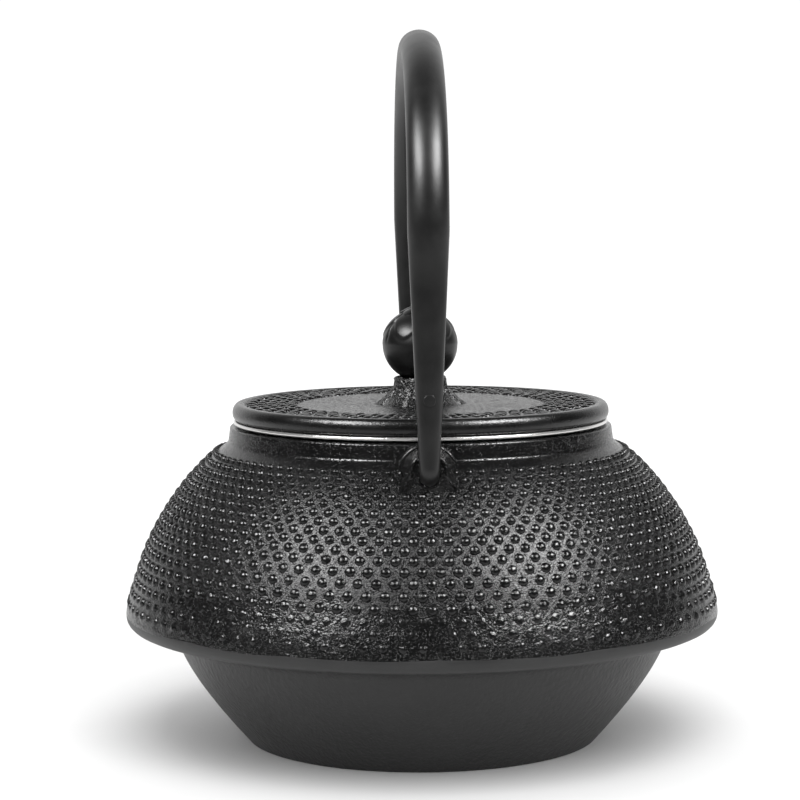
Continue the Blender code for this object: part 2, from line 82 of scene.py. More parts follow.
# Pot
SKIRT_RADIUS = POT_HIGH.x
SKIRT_HEIGHT = 37.1
SKIRT_ROLL = ((84.95, 36.2), (84.8, 35.4), (84.4, 34.65), (83.75, 34.0), (82.9, 33.6), (82.0, 33.42),
              (81.2, 33.4), (80.6, 33.45), (80.0, 33.55))
NECK_TOP = POT_HIGH.z
BASE_RADIUS = 50.3
BOWL_PULL = (69.6, 21.6)
BOWL_RIM = (71.1, 31.9)
DOME_PULLS = ((83.2, 48.1), (77.5, 69.8))
DOME_TOP = (56.2, 85.4)
MOUTH_RADIUS = 46.5
WALL = 3.5
FLOOR_THICKNESS = 4.0
ROUGH_HEIGHT = 50.0         # below this height, give or take a wave, the casting is rougher
ROUGH_WAVE = 4.0

# Studs of the pot: 18 staggered rows, with distances measured down the dome from the neck
STUDS_AROUND = 102
FIRST_ROW = 3.8
ROW_PITCH = 2.68
EVEN_ROWS = 9
ROW_COUNT = 18
LAST_FADES = (0.95, 0.85, 0.7, 0.55)    # the last rows sink into the rough casting
LAST_PITCH = 3.35
STUD_RISE = 0.62            # height of a stud as a share of its radius
FIRST_STUD_RISE = 0.98
BORDER_WAVE = 0.34

# Lid
LID_STUDS_AROUND = 51
LID_ROWS = 5
LID_DISC_RADIUS = 35.3
LID_BORDER_RADIUS = 49.9
LID_STUD_RADIUS = 1.6
LID_STUD_HEIGHT = 0.82
LID_ROW_PITCH = 2.88
LID_RADIUS = LID_HIGH.x + 0.5           # the lid and the infuser's rim stand a little proud of their nodes
LID_FACE = LID_LOW.z + 10.9             # the boss stands on this face
LID_UNDER = LID_FACE - 4.0
PIN_BORE = 2.3
PETALS = 8
PETAL_REACH = 13.5
PETAL_NOTCH = 2.5

# Knob
KNOB_CENTRE = 112.9
KNOB_CROWN = 123.1
KNOB_RADIUS = KNOB_HIGH.x + 0.3
KNOB_FOOT_RADIUS = 5.9
KNOB_COLUMNS = 160
SEPALS = 5

# Spout
SPOUT_ROUTE = ((58.0, 50.0), (84.0, 58.0), (100.0, 84.5))
SPOUT_ROOT_RADIUS = 14.5
SPOUT_TIP_RADIUS = 7.6
SPOUT_WALL = 2.6
SPOUT_START = 0.32          # place along the route where the spout's own skin starts
LIP_TILT = math.radians(24.0)

# Lugs
LUG_FACE = 63.6
LUG_TOP = 88.4
LUG_CROWN = 5.2
LUG_SPREAD = 5.2            # how much wider the bell grows on each side between the two heights
LUG_SPREAD_HEIGHTS = (72.0, 84.5)
LUG_BACK = 50.0
LUG_BORE = 2.5
LUG_BORE_DEPTH = 3.4

# Handle
FOOT_FACE = 64.0
FOOT_BEND = 2.8
KINK = (69.0, 147.0)
ARCH_FULLNESS = 2.2
TUBE_RADIUS = GRIP_HIGH.x
TUBE_HALF_DEPTH = 4.8
FOOT_HALF_WIDTH = 2.6
FOOT_HALF_DEPTH = 2.4
LEG_HALF_DEPTH = 3.0
FLAT_START = 137.0
TUBE_WALL = 0.9

# Infuser
RIM_RADIUS = FLANGE_HIGH.x + 0.55
SHEET = 0.6
BAND_RADIUS = 45.9
SHELF_HEIGHT = 84.0
WIRE = 0.17
WIRE_PITCH = 1.25

chance = random.Random(7)
noise.seed_set(7)           # noise vectors would differ from run to run without it


# Meshes ---------------------------------------------------------------------------------------------

def column_angle(column, columns):
    """Angle about Z of one column of a turned piece."""
    return REAR + TURN * column / columns


def about_z(radius, angle, height):
    return (radius * math.cos(angle), radius * math.sin(angle), height)


def new_object(name, data):
    made = bpy.data.objects.new(name, data)
    bpy.context.scene.collection.objects.link(made)
    return made


class Shell:
    """Points and faces of one piece while it is being built. Each face has a material number."""

    def __init__(self):
        self.points = []
        self.faces = []
        self.finishes = []

    def add(self, point):
        self.points.append(tuple(point))
        return len(self.points) - 1

    def face(self, corners, finish=0):
        self.faces.append(tuple(corners))
        self.finishes.append(finish)

    def ring(self, radius, height, columns):
        """Level ring of points about Z, or one point on the axis."""
        if radius < 1e-6:
            return [self.add((0.0, 0.0, height))]
        return [self.add(about_z(radius, column_angle(k, columns), height)) for k in range(columns)]

    def loop(self, points):
        return [self.add(point) for point in points]

    def join(self, ring_a, ring_b, finish=0):
        """Skin between two rings. One may have a whole number of times as many points as the other."""
        if len(ring_a) < len(ring_b):
            ring_a, ring_b = ring_b, ring_a
        count, fewer = len(ring_a), len(ring_b)
        step = count // fewer
        if fewer == 1:
            for k in range(count):
                self.face((ring_a[k], ring_a[(k + 1) % count], ring_b[0]), finish)
            return
        for j in range(fewer):
            corners = [ring_a[(j * step + k) % count] for k in range(step + 1)]
            self.face(corners + [ring_b[(j + 1) % fewer], ring_b[j]], finish)

    def stack(self, rings, finish=0):
        for ring_a, ring_b in zip(rings, rings[1:]):
            self.join(ring_a, ring_b, finish)

    def cap(self, ring, point, finish=0):
        """Close a ring with a fan to one point."""
        self.join(ring, [self.add(point)], finish)

    def carry(self, last, points, finish=0):
        """Join a new ring of points to the last one, and return the new one."""
        ring = self.loop(points)
        self.join(last, ring, finish)
        return ring

    def turn(self, outline, columns, start=None, finish=0):
        """Turned skin through (radius, height) points, carrying on from a ring. Returns its last ring."""
        last = start
        for radius, height in outline:
            ring = self.ring(radius, height, columns)
            if last is not None:
                self.join(last, ring, finish)
            last = ring
        return last

    def roughen(self, amount, size, where=None, seed=0.0):
        """Push points in and out by smooth noise. where gives each point's share from 0 to 1."""
        offset = Vector((seed, seed * 1.7, seed * 0.6))
        for index, point in enumerate(self.points):
            share = 1.0 if where is None else where(point)
            if share > 0.0:
                push = noise.noise_vector(Vector(point) / size + offset)
                self.points[index] = tuple(Vector(point) + push * (amount * share))

    def mesh(self, name):
        """Blender mesh of the shell, in metres."""
        mesh = bpy.data.meshes.new(name)
        mesh.from_pydata([tuple(value * MM for value in point) for point in self.points], [], self.faces)
        return mesh


def make_piece(name, shell, finishes, body, nodes=(), sharp=38.0):
    """Turn a shell into a smooth-shaded object that rides on a body and stands for CAD nodes."""
    mesh = shell.mesh(name)
    for material in finishes:
        mesh.materials.append(material)
    mesh.polygons.foreach_set("material_index", shell.finishes)
    work = bmesh.new()
    work.from_mesh(mesh)
    bmesh.ops.recalc_face_normals(work, faces=work.faces)
    work.to_mesh(mesh)
    work.free()
    mesh.shade_smooth()
    mesh.set_sharp_from_angle(angle=math.radians(sharp))
    piece = new_object(name, mesh)
    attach(piece, body)
    if nodes:
        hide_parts(*nodes)
    return piece


def bezier(points, steps):
    """Points along a quadratic or cubic Bezier curve, both ends included."""
    degree = len(points) - 1
    route = []
    for step in range(steps + 1):
        t = step / steps
        route.append(sum((Vector(point) * math.comb(degree, n) * t ** n * (1 - t) ** (degree - n)
                          for n, point in enumerate(points)), Vector((0.0, 0.0))))
    return route


def arc(centre, radii, start, end, steps):
    """Points along an elliptical arc between two angles in degrees, both ends included."""
    (x, y), (wide, high) = centre, radii
    angles = (math.radians(start + (end - start) * step / steps) for step in range(steps + 1))
    return [Vector((x + wide * math.cos(angle), y + high * math.sin(angle))) for angle in angles]


def heading(route, index):
    """Direction of a route at one of its points."""
    return (route[min(index + 1, len(route) - 1)] - route[max(index - 1, 0)]).normalized()


def moved_in(route, distance):
    """The same route, shifted to its left-hand side by distance."""
    shifted = []
    for index, point in enumerate(route):
        along = heading(route, index)
        shifted.append(point + Vector((-along.y, along.x)) * distance)
    return shifted


def eased(value, low, high):
    """0 below low, 1 above high and smooth between."""
    t = min(max((value - low) / (high - low), 0.0), 1.0)
    return t * t * (3 - 2 * t)


class Surface:
    """Turned surface addressed by an angle and the distance along its outline."""

    def __init__(self, outline):
        self.route = np.array([tuple(point) for point in outline])
        steps = np.linalg.norm(np.diff(self.route, axis=0), axis=1)
        self.at = np.concatenate(([0.0], np.cumsum(steps)))
        along = np.gradient(self.route, self.at, axis=0)
        along /= np.linalg.norm(along, axis=1)[:, None]
        self.normals = np.stack([-along[:, 1], along[:, 0]], axis=1)

    def read(self, table, distance):
        return np.interp(distance, self.at, table[:, 0]), np.interp(distance, self.at, table[:, 1])

    def radius(self, distance):
        return self.read(self.route, distance)[0]

    def place(self, angle, distance, lift=0.0):
        radius, height = self.read(self.route, distance)
        outward, upward = self.read(self.normals, distance)
        return about_z(radius + outward * lift, angle, height + upward * lift)


# Studded bands --------------------------------------------------------------------------------------

PLAIN = 0
STUD = 1
HOLE = 2
STUD_RINGS = ((1.0, 0.0), (0.86, 0.52), (0.52, 0.87))
SMALL_STUD = 0.81           # studs that rise no higher than this have fewer rings
SMALL_STUD_RINGS = ((1.0, 0.0), (0.74, 0.68))


class StudBand:
    """Skin of a turned band with one cell for each stud. Alternate rows are staggered by half a step.

    Cells share their borders, so the band is one continuous skin. A cell holds a stud, is plain, or is left
    open as part of a hole, as kind(row, angle, distance) says.
    """

    def __init__(self, shell, surface, around, rows, borders, fineness, lift, kind, stud_size):
        self.shell = shell
        self.surface = surface
        self.per_stud = 4 * fineness
        self.half = 2 * fineness
        self.columns = around * self.per_stud
        self.lift = lift
        self.params = {}
        self.rings = [self.border(number, distance, number in (0, len(rows)))
                      for number, distance in enumerate(borders)]
        self.sides = {}
        self.open_loops = []
        for row, distance in enumerate(rows):
            for cell in range(around):
                centre = cell * self.per_stud + (row % 2) * self.half
                loop = self.cell_loop(row, centre)
                angle = column_angle(centre, self.columns)
                what = kind(row, angle, distance)
                if what == HOLE:
                    self.open_loops.append(loop)
                elif what == STUD:
                    self.stud(loop, angle, distance, *stud_size(row, distance))
                else:
                    shell.face(loop)

    def vertex(self, column, distance):
        angle = column_angle(column, self.columns)
        index = self.shell.add(self.surface.place(angle, distance, self.lift))
        self.params[index] = (angle, distance)
        return index

    def border(self, number, distance, straight):
        wave = 0.0 if straight else BORDER_WAVE
        first = (number % 2) * self.half
        return [self.vertex(k, distance - wave * math.cos(TURN * (k - first) / self.per_stud))
                for k in range(self.columns)]

    def side(self, row, column):
        """Points between two borders, from the upper one down."""
        column %= self.columns
        if (row, column) not in self.sides:
            top = self.params[self.rings[row][column]][1]
            bottom = self.params[self.rings[row + 1][column]][1]
            self.sides[row, column] = [self.vertex(column, top + (bottom - top) * k / self.half)
                                       for k in range(1, self.half)]
        return self.sides[row, column]

    def cell_loop(self, row, centre):
        columns = [(centre + k) % self.columns for k in range(-self.half, self.half + 1)]
        top = [self.rings[row][k] for k in columns]
        bottom = [self.rings[row + 1][k] for k in reversed(columns)]
        right = self.side(row, columns[-1])
        left = self.side(row, columns[0])
        return top + right + bottom + left[::-1]

    def stud(self, loop, angle, distance, radius, height):
        """Steep round stud with a crisp foot, a little uneven as castings are."""
        rings = STUD_RINGS if height > SMALL_STUD else SMALL_STUD_RINGS
        radius *= chance.uniform(0.95, 1.04)
        height *= chance.uniform(0.92, 1.06)
        distance += chance.uniform(-0.07, 0.07)
        angle += chance.uniform(-0.07, 0.07) / self.surface.radius(distance)
        turn_radius = self.surface.radius(distance)
        last = loop
        for share, rise in rings:
            ring = []
            for m in range(len(loop)):
                bearing = math.radians(150.0) - TURN * m / len(loop)
                across = share * radius * math.cos(bearing) / turn_radius
                down = distance - share * radius * math.sin(bearing)
                place = self.surface.place(angle + across, down, self.lift + rise * height)
                ring.append(self.shell.add(place))
            self.shell.join(last, ring, PLAIN if last is loop else STUD)
            last = ring
        self.shell.cap(last, self.surface.place(angle, distance, self.lift + height), STUD)

    def hole_edges(self):
        """Edges round the open cells, in a fixed order."""
        edges = [(loop[k], loop[(k + 1) % len(loop)]) for loop in self.open_loops for k in range(len(loop))]
        known = set(edges)
        return [(a, b) for a, b in edges if (b, a) not in known]

    def fit_hole(self, centre, radius_at):
        """Move the hole's rim along the surface until each point is as far from the axis as wanted."""
        rim = sorted({index for edge in self.hole_edges() for index in edge})
        for index in rim:
            angle, distance = self.params[index]
            for _ in range(6):
                away, wanted = radius_at(self.surface.place(angle, distance, self.lift))
                share = wanted / max(away, 1e-6)
                angle = centre[0] + (angle - centre[0]) * share
                distance = centre[1] + (distance - centre[1]) * share
            self.shell.points[index] = self.surface.place(angle, distance, self.lift)


# Pot ------------------------------------------------------------------------------------------------

def row_distances():
    """Distances of the pot's stud rows: even at first, then easing apart."""
    distances = [FIRST_ROW]
    for row in range(1, ROW_COUNT):
        share = max(row - EVEN_ROWS, 0) / (ROW_COUNT - 1 - EVEN_ROWS)
        distances.append(distances[-1] + ROW_PITCH + (LAST_PITCH - ROW_PITCH) * min(share * 2, 1.0))
    return distances


def pot_stud_radius(distance):
    return float(np.interp(distance, (FIRST_ROW, 14.0, 22.0, 50.0), (1.05, 1.24, 1.42, 1.46)))


def dome_route():
    """Outer outline of the dome, stud tops included, from the neck down to the skirt."""
    return bezier((DOME_TOP, *reversed(DOME_PULLS), (SKIRT_RADIUS, SKIRT_HEIGHT)), 160)


def dome_ground():
    """Outline that the studs stand on: the dome moved in by their height, except at the skirt."""
    outer = Surface(dome_route())
    lowered = []
    for point, normal, distance in zip(outer.route, outer.normals, outer.at):
        depth = STUD_RISE * pot_stud_radius(distance) * eased(outer.at[-1] - distance, 0.5, 14.0)
        lowered.append(Vector(point) - Vector(normal) * depth)
    return lowered


def spout_radius(t):
    """Outer radius of the spout at a place t from 0 at its root to 1 at its tip."""
    return SPOUT_ROOT_RADIUS + (SPOUT_TIP_RADIUS - SPOUT_ROOT_RADIUS) * math.sin(t * math.pi / 2) ** 0.8


def rim_radius(t):
    """Radius of the pot's hole for the spout, which ends inside the spout's wall."""
    return spout_radius(t) - SPOUT_WALL * 0.55


def spout_stations(steps):
    """Centre, direction in the YZ plane and place t for stations along the spout."""
    route = bezier(SPOUT_ROUTE, steps)
    return [(centre, heading(route, index), index / steps) for index, centre in enumerate(route)]


SPOUT_LINE = spout_stations(60)


def from_spout_axis(point):
    """Distance from the spout's centre line, and the place t of the nearest point on it."""
    point = Vector(point)
    return min(((point - Vector((0.0, centre.x, centre.y))).length, t) for centre, _, t in SPOUT_LINE)


def hole_radius(point):
    """How far a point is from the spout's axis, and how far the rim of the pot's hole should be."""
    away, t = from_spout_axis(point)
    return away, rim_radius(t)


def lug_half_width(height):
    low, high = LUG_SPREAD_HEIGHTS
    return LUG_CROWN + LUG_SPREAD * eased(-height, -high, -low)


def pot_cell_kind(surface):
    """Function that says whether a cell of the dome holds a stud, is plain, or is open for the spout."""
    def kind(row, angle, distance):
        x, y, z = surface.place(angle, distance)
        if z > 77.6 and abs(x) < lug_half_width(z) + 1.6:
            return PLAIN
        if y > 60.0:
            away, t = from_spout_axis((x, y, z))
            if away < rim_radius(t):
                return HOLE
            if away < spout_radius(t) + 3.6:
                return PLAIN
        return STUD
    return kind


def pot_stud_size(row, distance):
    radius = pot_stud_radius(distance)
    from_first_faded = row - ROW_COUNT + len(LAST_FADES)
    fade = 1.0 if from_first_faded < 0 else LAST_FADES[from_first_faded]
    rise = float(np.interp(distance, (FIRST_ROW, 22.0), (FIRST_STUD_RISE, STUD_RISE)))
    return radius * (0.5 + 0.5 * fade), radius * rise * fade


def neck_outline():
    """From the dome's top round a small fillet, up the neck, over its rim and down into the mouth."""
    foot, rim = DOME_TOP[1], NECK_TOP - 0.42
    return [(55.7, foot - 0.32), (55.45, foot - 0.08), (55.27, foot + 0.2), (55.16, foot + 0.55),
            (55.08, foot + 1.1), (54.8, foot + 3.2), (54.7, rim - 0.5),
            (54.6, rim - 0.22), (54.4, rim - 0.06), (54.1, rim), (50.0, rim + 0.36),
            (MOUTH_RADIUS + 1.6, NECK_TOP), (MOUTH_RADIUS + 0.7, NECK_TOP - 0.2),
            (MOUTH_RADIUS + 0.15, NECK_TOP - 0.8)]


def in_rough_casting(point):
    """Whether a point lies below the wavy line where the casting gets rougher."""
    return point[2] < ROUGH_HEIGHT + ROUGH_WAVE * noise.noise(Vector(point) * 0.15)


# Material numbers of the pot, after PLAIN and STUD
ENAMELLED, SMOOTH, BOWL_SKIN, NECK_SKIN, ROUGH = range(2, 7)


def build_pot(finishes):
    shell = Shell()
    ground = Surface(dome_ground())
    rows = row_distances()
    borders = [rows[0] - 1.45, *((a + b) / 2 for a, b in zip(rows, rows[1:])), rows[-1] + 1.75]
    kind = pot_cell_kind(ground)
    outside = StudBand(shell, ground, STUDS_AROUND, rows, borders, 1, 0.0, kind, pot_stud_size)
    for number, corners in enumerate(shell.faces):
        if shell.finishes[number] == PLAIN and in_rough_casting(shell.points[corners[0]]):
            shell.finishes[number] = ROUGH

    first_inner_face = len(shell.faces)
    hole_only = lambda row, angle, distance: HOLE if kind(row, angle, distance) == HOLE else PLAIN
    inside = StudBand(shell, Surface(dome_route()), STUDS_AROUND, rows, borders, 1, -WALL, hole_only, None)
    shell.finishes[first_inner_face:] = [ENAMELLED] * (len(shell.faces) - first_inner_face)

    crossing = min(np.linspace(10.0, 45.0, 141), key=lambda d: from_spout_axis(ground.place(FRONT, d))[0])
    outside.fit_hole((FRONT, crossing), hole_radius)
    inside.fit_hole((FRONT, crossing), hole_radius)
    for (a, b), (c, d) in zip(outside.hole_edges(), inside.hole_edges()):
        shell.face((a, b, d, c))

    add_skirt_and_bowl(shell, ground, outside, borders[-1])
    upper = [ground.place(0.0, distance) for distance in (borders[0] - 1.0, 0.3)]
    neck = [(x, z) for x, _, z in upper] + neck_outline()
    throat = shell.turn(neck, outside.columns // 2, outside.rings[0], NECK_SKIN)
    add_pot_inside(shell, inside, throat)

    shell.roughen(0.16, 1.1, lambda p: 0.0 if math.hypot(p[0], p[1]) < 78.0
                  else eased(p[2], 37.6, 38.2) * eased(-p[2], -47.0, -43.0), 3.0)
    shell.roughen(0.06, 1.0, lambda p: 0.0 if math.hypot(p[0], p[1]) < MOUTH_RADIUS + 1.0
                  else eased(p[2], 44.0, 47.0) * eased(-p[2], -78.0, -72.0), 11.0)
    materials = [finishes[name] for name in ("iron", "stud", "enamel", "skirt", "bowl", "neck", "rough")]
    return make_piece("pot_casting", shell, materials, "pot", ("pot_body",))


def add_skirt_and_bowl(shell, ground, outside, start):
    """Rough band below the last studs, the skirt's wavy edge and roll, its underside and the bowl."""
    columns = outside.columns
    last = outside.rings[-1]
    end = ground.at[-1] - 0.6
    steps = 5
    for step in range(1, steps + 1):
        distance = start + (end - start) * step / steps
        points = [ground.place(column_angle(k, columns), distance) for k in range(columns)]
        last = shell.carry(last, points, ROUGH)
    wavy = []
    for k in range(columns):
        angle = column_angle(k, columns)
        wave = noise.noise(Vector(about_z(4.5, angle, 0.3)))
        wavy.append(about_z(SKIRT_RADIUS, angle, SKIRT_HEIGHT + 0.7 * wave))
    last = shell.carry(last, wavy, ROUGH)
    last = shell.turn(SKIRT_ROLL, columns, last, SMOOTH)
    bowl = bezier((BOWL_RIM, BOWL_PULL, (BASE_RADIUS + 0.6, 0.6)), 18)
    hollow = bezier((SKIRT_ROLL[-1], BOWL_RIM, tuple(bowl[3])), 7)[1:]
    base = [(BASE_RADIUS + 0.2, 0.15), (BASE_RADIUS - 0.4, 0.0), (BASE_RADIUS - 8.0, 0.0),
            (BASE_RADIUS - 25.0, 0.0), (0.0, 0.0)]
    shell.turn(hollow + bowl[4:] + base, columns // 2, last, BOWL_SKIN)


def add_pot_inside(shell, inside, throat):
    """Enamelled skin from the throat to the dome's inside, and from there over the bowl to the floor."""
    coarse = inside.columns // 2
    shoulder = [(MOUTH_RADIUS, NECK_TOP - 1.8), (MOUTH_RADIUS, DOME_TOP[1] + 0.8),
                (MOUTH_RADIUS + 0.8, DOME_TOP[1] - 0.4), (MOUTH_RADIUS + 3.0, DOME_TOP[1] - 1.4)]
    last = shell.turn(shoulder, coarse, throat, ENAMELLED)
    shell.join(inside.rings[0], last, ENAMELLED)
    skirt = [(SKIRT_RADIUS - 4.6, SKIRT_HEIGHT + 3.2), (SKIRT_RADIUS - 6.0, SKIRT_HEIGHT + 1.2),
             (SKIRT_RADIUS - 9.0, SKIRT_HEIGHT - 0.2)]
    bowl = moved_in(bezier(((BASE_RADIUS, 0.0), BOWL_PULL, BOWL_RIM), 11), WALL)[1:]
    floor = [(bowl[0].x - 2.0, FLOOR_THICKNESS + 0.3), (bowl[0].x - 5.0, FLOOR_THICKNESS),
             (BASE_RADIUS - 25.0, FLOOR_THICKNESS), (0.0, FLOOR_THICKNESS)]
    shell.turn(skirt + bowl[::-1] + floor, coarse, inside.rings[-1], ENAMELLED)


def spout_section(centre, ahead, radius, tilt, steps=72):
    """Round section across the spout's centre line, tilted towards the lip's slant."""
    lean = math.atan2(ahead.y, ahead.x) + tilt
    across = Vector((-math.sin(lean), math.cos(lean)))
    section = []
    for step in range(steps):
        angle = TURN * step / steps
        middle = centre + across * radius * math.sin(angle)
        section.append((radius * math.cos(angle), middle.x, middle.y))
    return section


def build_spout(iron, enamel):
    """Tube from the pot's inner wall to the lip, flaring into the dome at its root."""
    shell = Shell()
    stations = [station for station in spout_stations(48) if station[2] > SPOUT_START]
    start = stations[0][2]
    outer, inner = [], []
    for centre, ahead, t in stations:
        tilt = LIP_TILT * eased(t, 0.72, 1.0)
        radius = spout_radius(t)
        flare = 3.4 * (1 - eased(t, start, start + 0.36)) ** 2
        outer.append(spout_section(centre, ahead, radius + flare - 0.35 * eased(t, 0.93, 1.0), tilt))
        inner.append(spout_section(centre, ahead, radius - SPOUT_WALL + 0.5 * eased(t, 0.95, 1.0), tilt))
    centre, ahead, _ = stations[-1]
    lip = [spout_section(centre + ahead * rise, ahead, SPOUT_TIP_RADIUS - inset, LIP_TILT)
           for rise, inset in ((0.45, 0.75), (0.5, 1.4), (0.3, 1.9))]
    rings = [shell.loop(section) for section in outer + lip]
    shell.stack(rings)
    bore = [shell.loop(section) for section in reversed(inner)]
    shell.join(rings[-1], bore[0])
    shell.stack(bore, 1)
    shell.join(bore[-1], rings[0], 1)
    shell.roughen(0.09, 1.8, seed=5.0)
    return make_piece("spout", shell, (iron, enamel), "pot", ("pot_body",))


def lug_outline(steps):
    """Bell shape seen along Y, as points about the handle's axis."""
    crown = arc((0.0, LUG_TOP - LUG_CROWN - PIVOT_HEIGHT), (LUG_CROWN, LUG_CROWN), 0, 180, steps)
    depth = 9.5
    left = [Vector((-lug_half_width(PIVOT_HEIGHT - depth * k / 8), -depth * k / 8)) for k in range(1, 9)]
    bottom = [Vector((x, -depth)) for x in (-5.0, 0.0, 5.0)]
    right = [Vector((-point.x, point.y)) for point in reversed(left)]
    return crown + left + bottom + right


def build_lug(name, side, iron):
    """Bell-shaped ear with drafted sides, a rough face and a blind hole for the handle's peg."""
    shell = Shell()
    outline = lug_outline(36)

    def shrunk(inset, distance, drop=0.0):
        return [(p.x * (1 - inset / p.length), side * distance,
                 PIVOT_HEIGHT + p.y * (1 - inset / p.length) - drop) for p in outline]

    def circle(radius, distance):
        return [(p.x / p.length * radius, side * distance, PIVOT_HEIGHT + p.y / p.length * radius)
                for p in outline]

    drafted = [shrunk(-0.35 - 2.05 * share, LUG_FACE - 0.6 - 6.5 * share, 1.2 * share)
               for share in np.linspace(1.0, 0.0, 9)]
    layers = [shrunk(-3.3, LUG_BACK, 1.3), shrunk(-3.3, 55.8, 1.3), shrunk(-3.2, 56.2, 1.3),
              shrunk(-3.0, 56.42, 1.3), shrunk(-2.7, 56.5, 1.2), *drafted]
    layers += [shrunk(inset, LUG_FACE - back) for inset, back in (
        (-0.2, 0.25), (0.05, 0.02), (0.4, 0.0), (0.8, 0.15), (1.2, 0.5), (1.6, 0.55))]
    layers += [circle(radius, LUG_FACE - back) for radius, back in (
        (3.7, 0.4), (3.35, 0.35), (3.15, 0.0), (2.8, 0.0), (LUG_BORE, 0.25), (LUG_BORE, LUG_BORE_DEPTH))]
    rings = [shell.loop(points) for points in layers]
    shell.stack(rings)
    shell.cap(rings[-1], (0.0, side * (LUG_FACE - LUG_BORE_DEPTH), PIVOT_HEIGHT))
    shell.cap(rings[0], (0.0, side * LUG_BACK, PIVOT_HEIGHT))
    shell.roughen(0.13, 0.8, lambda p: eased(math.hypot(p[0], p[2] - PIVOT_HEIGHT), 2.9, 3.4), 8.0 + side)
    return make_piece(name, shell, (iron,), "pot", ("pot_body",))


# Lid ------------------------------------------------------------------------------------------------

def lid_top(radius):
    """Height of the lid's upper side between the boss and its border."""
    return LID_FACE - 0.25 * eased(radius, LID_DISC_RADIUS - 1.2, LID_DISC_RADIUS + 0.4)


def petal_ridge(angle):
    """1 along the middle of a petal, falling to 0 in the notch between two."""
    return abs(math.cos(PETALS * (angle - REAR) / 2))


def build_lid(iron, stud_iron, rim_lacquer):
    shell = Shell()
    rows = [LID_DISC_RADIUS + 1.7 + LID_ROW_PITCH * k for k in range(LID_ROWS)]
    inner_edge = rows[0] - 1.5
    radii = [inner_edge + (LID_BORDER_RADIUS - inner_edge) * k / 20 for k in range(21)]
    surface = Surface([(radius, lid_top(radius)) for radius in radii])
    distances = [row - inner_edge for row in rows]
    borders = [0.0, *((a + b) / 2 for a, b in zip(distances, distances[1:])), distances[-1] + 1.45]
    band = StudBand(shell, surface, LID_STUDS_AROUND, distances, borders, 2, 0.0,
                    lambda row, angle, distance: STUD,
                    lambda row, distance: (LID_STUD_RADIUS, LID_STUD_HEIGHT))

    last = add_lid_rim(shell, band, inner_edge + borders[-1])
    last = shell.turn([(PIN_BORE, LID_HIGH.z)], band.columns, last)
    last = add_boss(shell, band.columns, last)
    disc = [(radius, lid_top(radius)) for radius in np.linspace(14.2, inner_edge - 0.6, 40)]
    last = shell.turn(disc, band.columns, last)
    shell.join(band.rings[0], last)

    shell.roughen(0.34, 0.8, lambda p: eased(p[2], LID_FACE + 0.6, LID_FACE + 3.0), 17.0)
    shell.roughen(0.12, 0.75, lambda p: eased(p[2], LID_FACE - 0.6, LID_FACE - 0.3)
                  * (1 - eased(math.hypot(p[0], p[1]), inner_edge - 0.9, inner_edge)), 21.0)
    return make_piece("lid_casting", shell, (iron, stud_iron, rim_lacquer), "lid", ("lid",))


def add_lid_rim(shell, band, border):
    """Border, double-rolled side, underside and the ring that locates the lid in the infuser."""
    foot = LID_LOW.z
    middle = LID_UNDER + 1.9
    border_top = [(border + out, LID_FACE + rise) for out, rise in (
        (0.2, -0.22), (0.35, 0.0), (0.6, 0.4), (1.0, 0.56), (1.6, 0.62))]
    rolled = arc((LID_RADIUS - 1.6, middle), (1.8, 2.72), 86, 0, 12)
    tucked = arc((LID_RADIUS - 1.0, middle), (1.2, 1.9), -8, -84, 9)
    underside = [(44.4, LID_UNDER), (44.4, LID_UNDER - 0.8), (44.3, foot + 0.5), (43.9, foot), (42.1, foot),
                 (41.7, foot + 0.5), (41.6, LID_UNDER - 0.8), (40.8, LID_UNDER), (12.0, LID_UNDER),
                 (PIN_BORE, LID_UNDER)]
    last = shell.turn(border_top, band.columns, band.rings[-1])
    last = shell.turn(rolled + tucked, band.columns, last, 2)
    return shell.turn(underside, band.columns // 2, last)


def add_boss(shell, columns, last):
    """Collar under the knob, spreading into petals on the lid's face."""
    collar = [(Vector((radius, LID_HIGH.z - down)), 0.0) for radius, down in (
        (6.2, 0.0), (6.9, 0.12), (7.3, 0.45), (7.45, 0.9), (7.5, 1.4), (7.55, 1.9), (7.62, 2.4))]
    flare = bezier(((7.65, LID_FACE + 5.3), (7.9, LID_FACE + 3.4), (10.6, LID_FACE + 1.9),
                    (PETAL_REACH, LID_FACE)), 22)
    for point, share in collar + [(point, k / 22) for k, point in enumerate(flare)]:
        points = []
        for k in range(columns):
            angle = column_angle(k, columns)
            ridge = petal_ridge(angle)
            foot = PETAL_REACH - PETAL_NOTCH + PETAL_NOTCH * ridge ** 0.7
            reach = point.x - (PETAL_REACH - foot) * share ** 2
            reach -= 0.5 * math.exp(-(ridge / 0.16) ** 2) * math.sin(math.pi * min(share * 0.95, 1.0))
            reach += 0.16 * math.exp(-((ridge - 0.42) / 0.14) ** 2) * eased(share, 0.15, 0.6)
            points.append(about_z(reach, angle, point.y))
        last = shell.carry(last, points)
    return last


# Knob -----------------------------------------------------------------------------------------------

